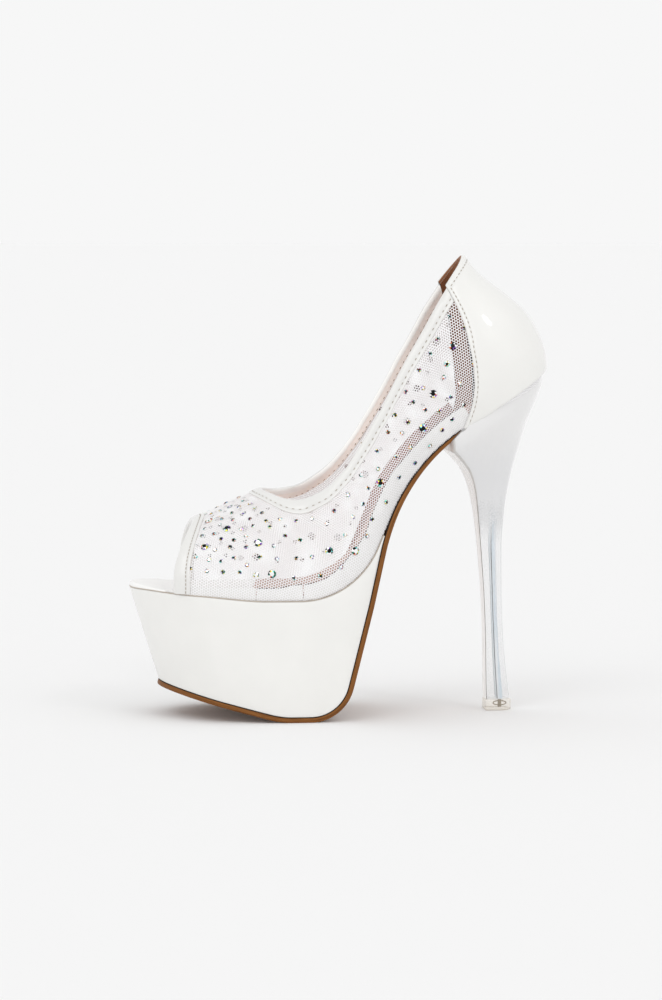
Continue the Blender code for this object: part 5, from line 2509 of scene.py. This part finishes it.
@dataclass
class Studio:
    """Floor, daylight and camera."""

    view: Viewpoint
    floor_colour: Colour = (0.88, 0.88, 0.88)
    horizon: float = 0.93
    zenith: float = 0.90
    dims_from: float = 0.08
    dims_to: float = 0.5
    floor_half: float = 60.0
    suns: tuple[Sun, ...] = (
        Sun("key", 0.18, 24.0, -38.0, 52.0),
        Sun("front_fill", 0.30, 40.0, -25.0, 25.0, shadow=False),
        Sun("side_fill", 0.15, 60.0, 48.0, 38.0),
        Sun("spark", 0.15, 9.0, 36.8, 41.5),
    )

    def make_floor(self) -> None:
        """Lays the paper, wide enough to reach the horizon."""
        reach = self.floor_half
        mesh = bpy.data.meshes.new("floor")
        corners = [(-reach, -reach, 0), (reach, -reach, 0), (reach, reach, 0), (-reach, reach, 0)]
        mesh.from_pydata(corners, [], [(0, 1, 2, 3)])
        mesh.materials.append(StudioPaper("studio_paper", self.floor_colour).material)
        floor = bpy.data.objects.new("floor", mesh)
        bpy.context.scene.collection.objects.link(floor)

    def make_sky(self) -> None:
        """An even pale surround that dims a little overhead."""
        world = bpy.data.worlds.new("surround")
        world.use_nodes = True
        tree = world.node_tree
        coordinates = tree.nodes.new("ShaderNodeTexCoord")
        split = tree.nodes.new("ShaderNodeSeparateXYZ")
        climb = tree.nodes.new("ShaderNodeMapRange")
        limits = (self.dims_from, self.dims_to, self.horizon, self.zenith)
        for name, number in zip(("From Min", "From Max", "To Min", "To Max"), limits):
            climb.inputs[name].default_value = number
        tree.links.new(coordinates.outputs["Generated"], split.inputs[0])
        tree.links.new(split.outputs["Z"], climb.inputs["Value"])
        tree.links.new(climb.outputs["Result"], tree.nodes["Background"].inputs["Strength"])
        tree.nodes["Background"].inputs["Color"].default_value = (1.0, 1.0, 1.0, 1.0)
        bpy.context.scene.world = world

    def build(self) -> None:
        """Builds the studio and sets plain display colours."""
        self.make_floor()
        self.make_sky()
        for sun in self.suns:
            sun.build()
        self.view.make_camera()
        bpy.context.scene.view_settings.view_transform = "Standard"


def clear_scene() -> None:
    """Removes what a new file starts with."""
    for item in list(bpy.data.objects):
        bpy.data.objects.remove(item)


def main() -> None:
    """Builds the shoe's sub-assemblies and the studio in order."""
    logging.basicConfig(level=logging.INFO, format="%(name)s: %(message)s")
    clear_scene()
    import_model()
    last = Last()
    cuts = CutLines(last)
    view = Viewpoint()
    white = (0.815, 0.81, 0.785)
    # The bindings' white patent, painted darker than the counter's where the strips catch more light.
    shaded_white = (0.77, 0.765, 0.745)
    pink = (0.93, 0.87, 0.82)
    thread = SewingThread("beige_thread", (0.42, 0.37, 0.31)).material
    stitching = Stitching(thread)
    brown = LiningLeather("brown_lining", (0.27, 0.105, 0.04)).material
    Upper(
        last,
        cuts,
        NetCloth("white_net_cloth", (0.86, 0.85, 0.86)).material,
        LiningLeather("white_band", (0.79, 0.785, 0.765)).material,
        LiningLeather("pink_band_lining", (0.33, 0.16, 0.13)).material,
        # Painted shade along the band's top edge.
        LiningLeather("dark_band_edge", (0.10, 0.06, 0.05)).material,
        brown,
        # Near black: painted shade behind the net's holes.
        LiningLeather("brown_lining_back", (0.018, 0.012, 0.010), specular=0.1, sheen=0.0).material,
    ).build()
    # Its emission is painted light on the lining that lies in shade inside the shoe.
    lining = LiningLeather("pink_topline_lining", pink, painted_glow=0.18).material
    Bindings(
        last,
        cuts,
        PatentLeather("patent_topline", shaded_white).material,
        PatentLeather("patent_toe", shaded_white).material,
        lining,
        # Emission here is painted light on the fold's shaded inside.
        LiningLeather("white_rim", shaded_white, painted_glow=0.3).material,
        stitching,
    ).build()
    Counter(last, cuts, PatentLeather("patent_counter", white).material, brown, stitching).build()
    bottom = Bottom(
        last,
        PatentLeather("patent_platform", (0.835, 0.83, 0.805)).material,
        SoleEdge("tan_sole_edge", (0.29, 0.115, 0.028), (0.11, 0.040, 0.010)).material,
        PatentLeather("white_insole_skin", (0.92, 0.915, 0.90), roughness=0.45, coat=0.4).material,
        LiningLeather("pink_sock", (0.52, 0.33, 0.27)).material,
        SoleEdge("dark_sole_line", (0.030, 0.014, 0.008), (0.010, 0.005, 0.003)).material,
        # Partly the welt, partly painted shade in the seam's crease.
        SewingThread("seam_cord", (0.50, 0.43, 0.36)).material,
    )
    bottom.build()
    Heel(
        bottom,
        cuts,
        FrostedAcrylic(
            "frosted_heel_skin",
            colour=(0.53, 0.53, 0.535),
            outline=(0.42, 0.43, 0.44),
            head=(0.60, 0.595, 0.59),
            clear_at=0.074,
            full_at=0.112,
            head_at=0.140,
        ).material,
        # Painted light on the breast's face and painted shade on its corner.
        FadingLine(
            "pale_breast", (0.92, 0.91, 0.90), (0.88, 0.875, 0.865), 0.080, 0.110, painted_glow=0.12
        ).material,
        FadingLine("breast_line", (0.20, 0.18, 0.155), (0.62, 0.61, 0.59), 0.078, 0.108).material,
        # Painted refraction inside the clear stem, with painted shade at its corners.
        FrostedCore("cool_streak", (0.56, 0.68, 0.77), (0.88, 0.90, 0.92), 0.112, 0.078, 0.6).material,
        FrostedCore("streak_line", (0.09, 0.09, 0.09), (0.16, 0.165, 0.17), 0.096, 0.070, 0.9).material,
        ClearAcrylic("clear_tip_plastic", (0.95, 0.86, 0.72), (0.70, 0.60, 0.46), body=0.2).material,
        ClearAcrylic("worn_tip_edge", (0.46, 0.36, 0.26), (0.30, 0.23, 0.16), body=0.45).material,
        PolishedSteel("pin_steel", (0.24, 0.20, 0.15)).material,
    ).build()
    Stones(last, view, FacetedStone("aurora_stones").material).build()
    Studio(view).build()


if __name__ == "__main__":
    main()
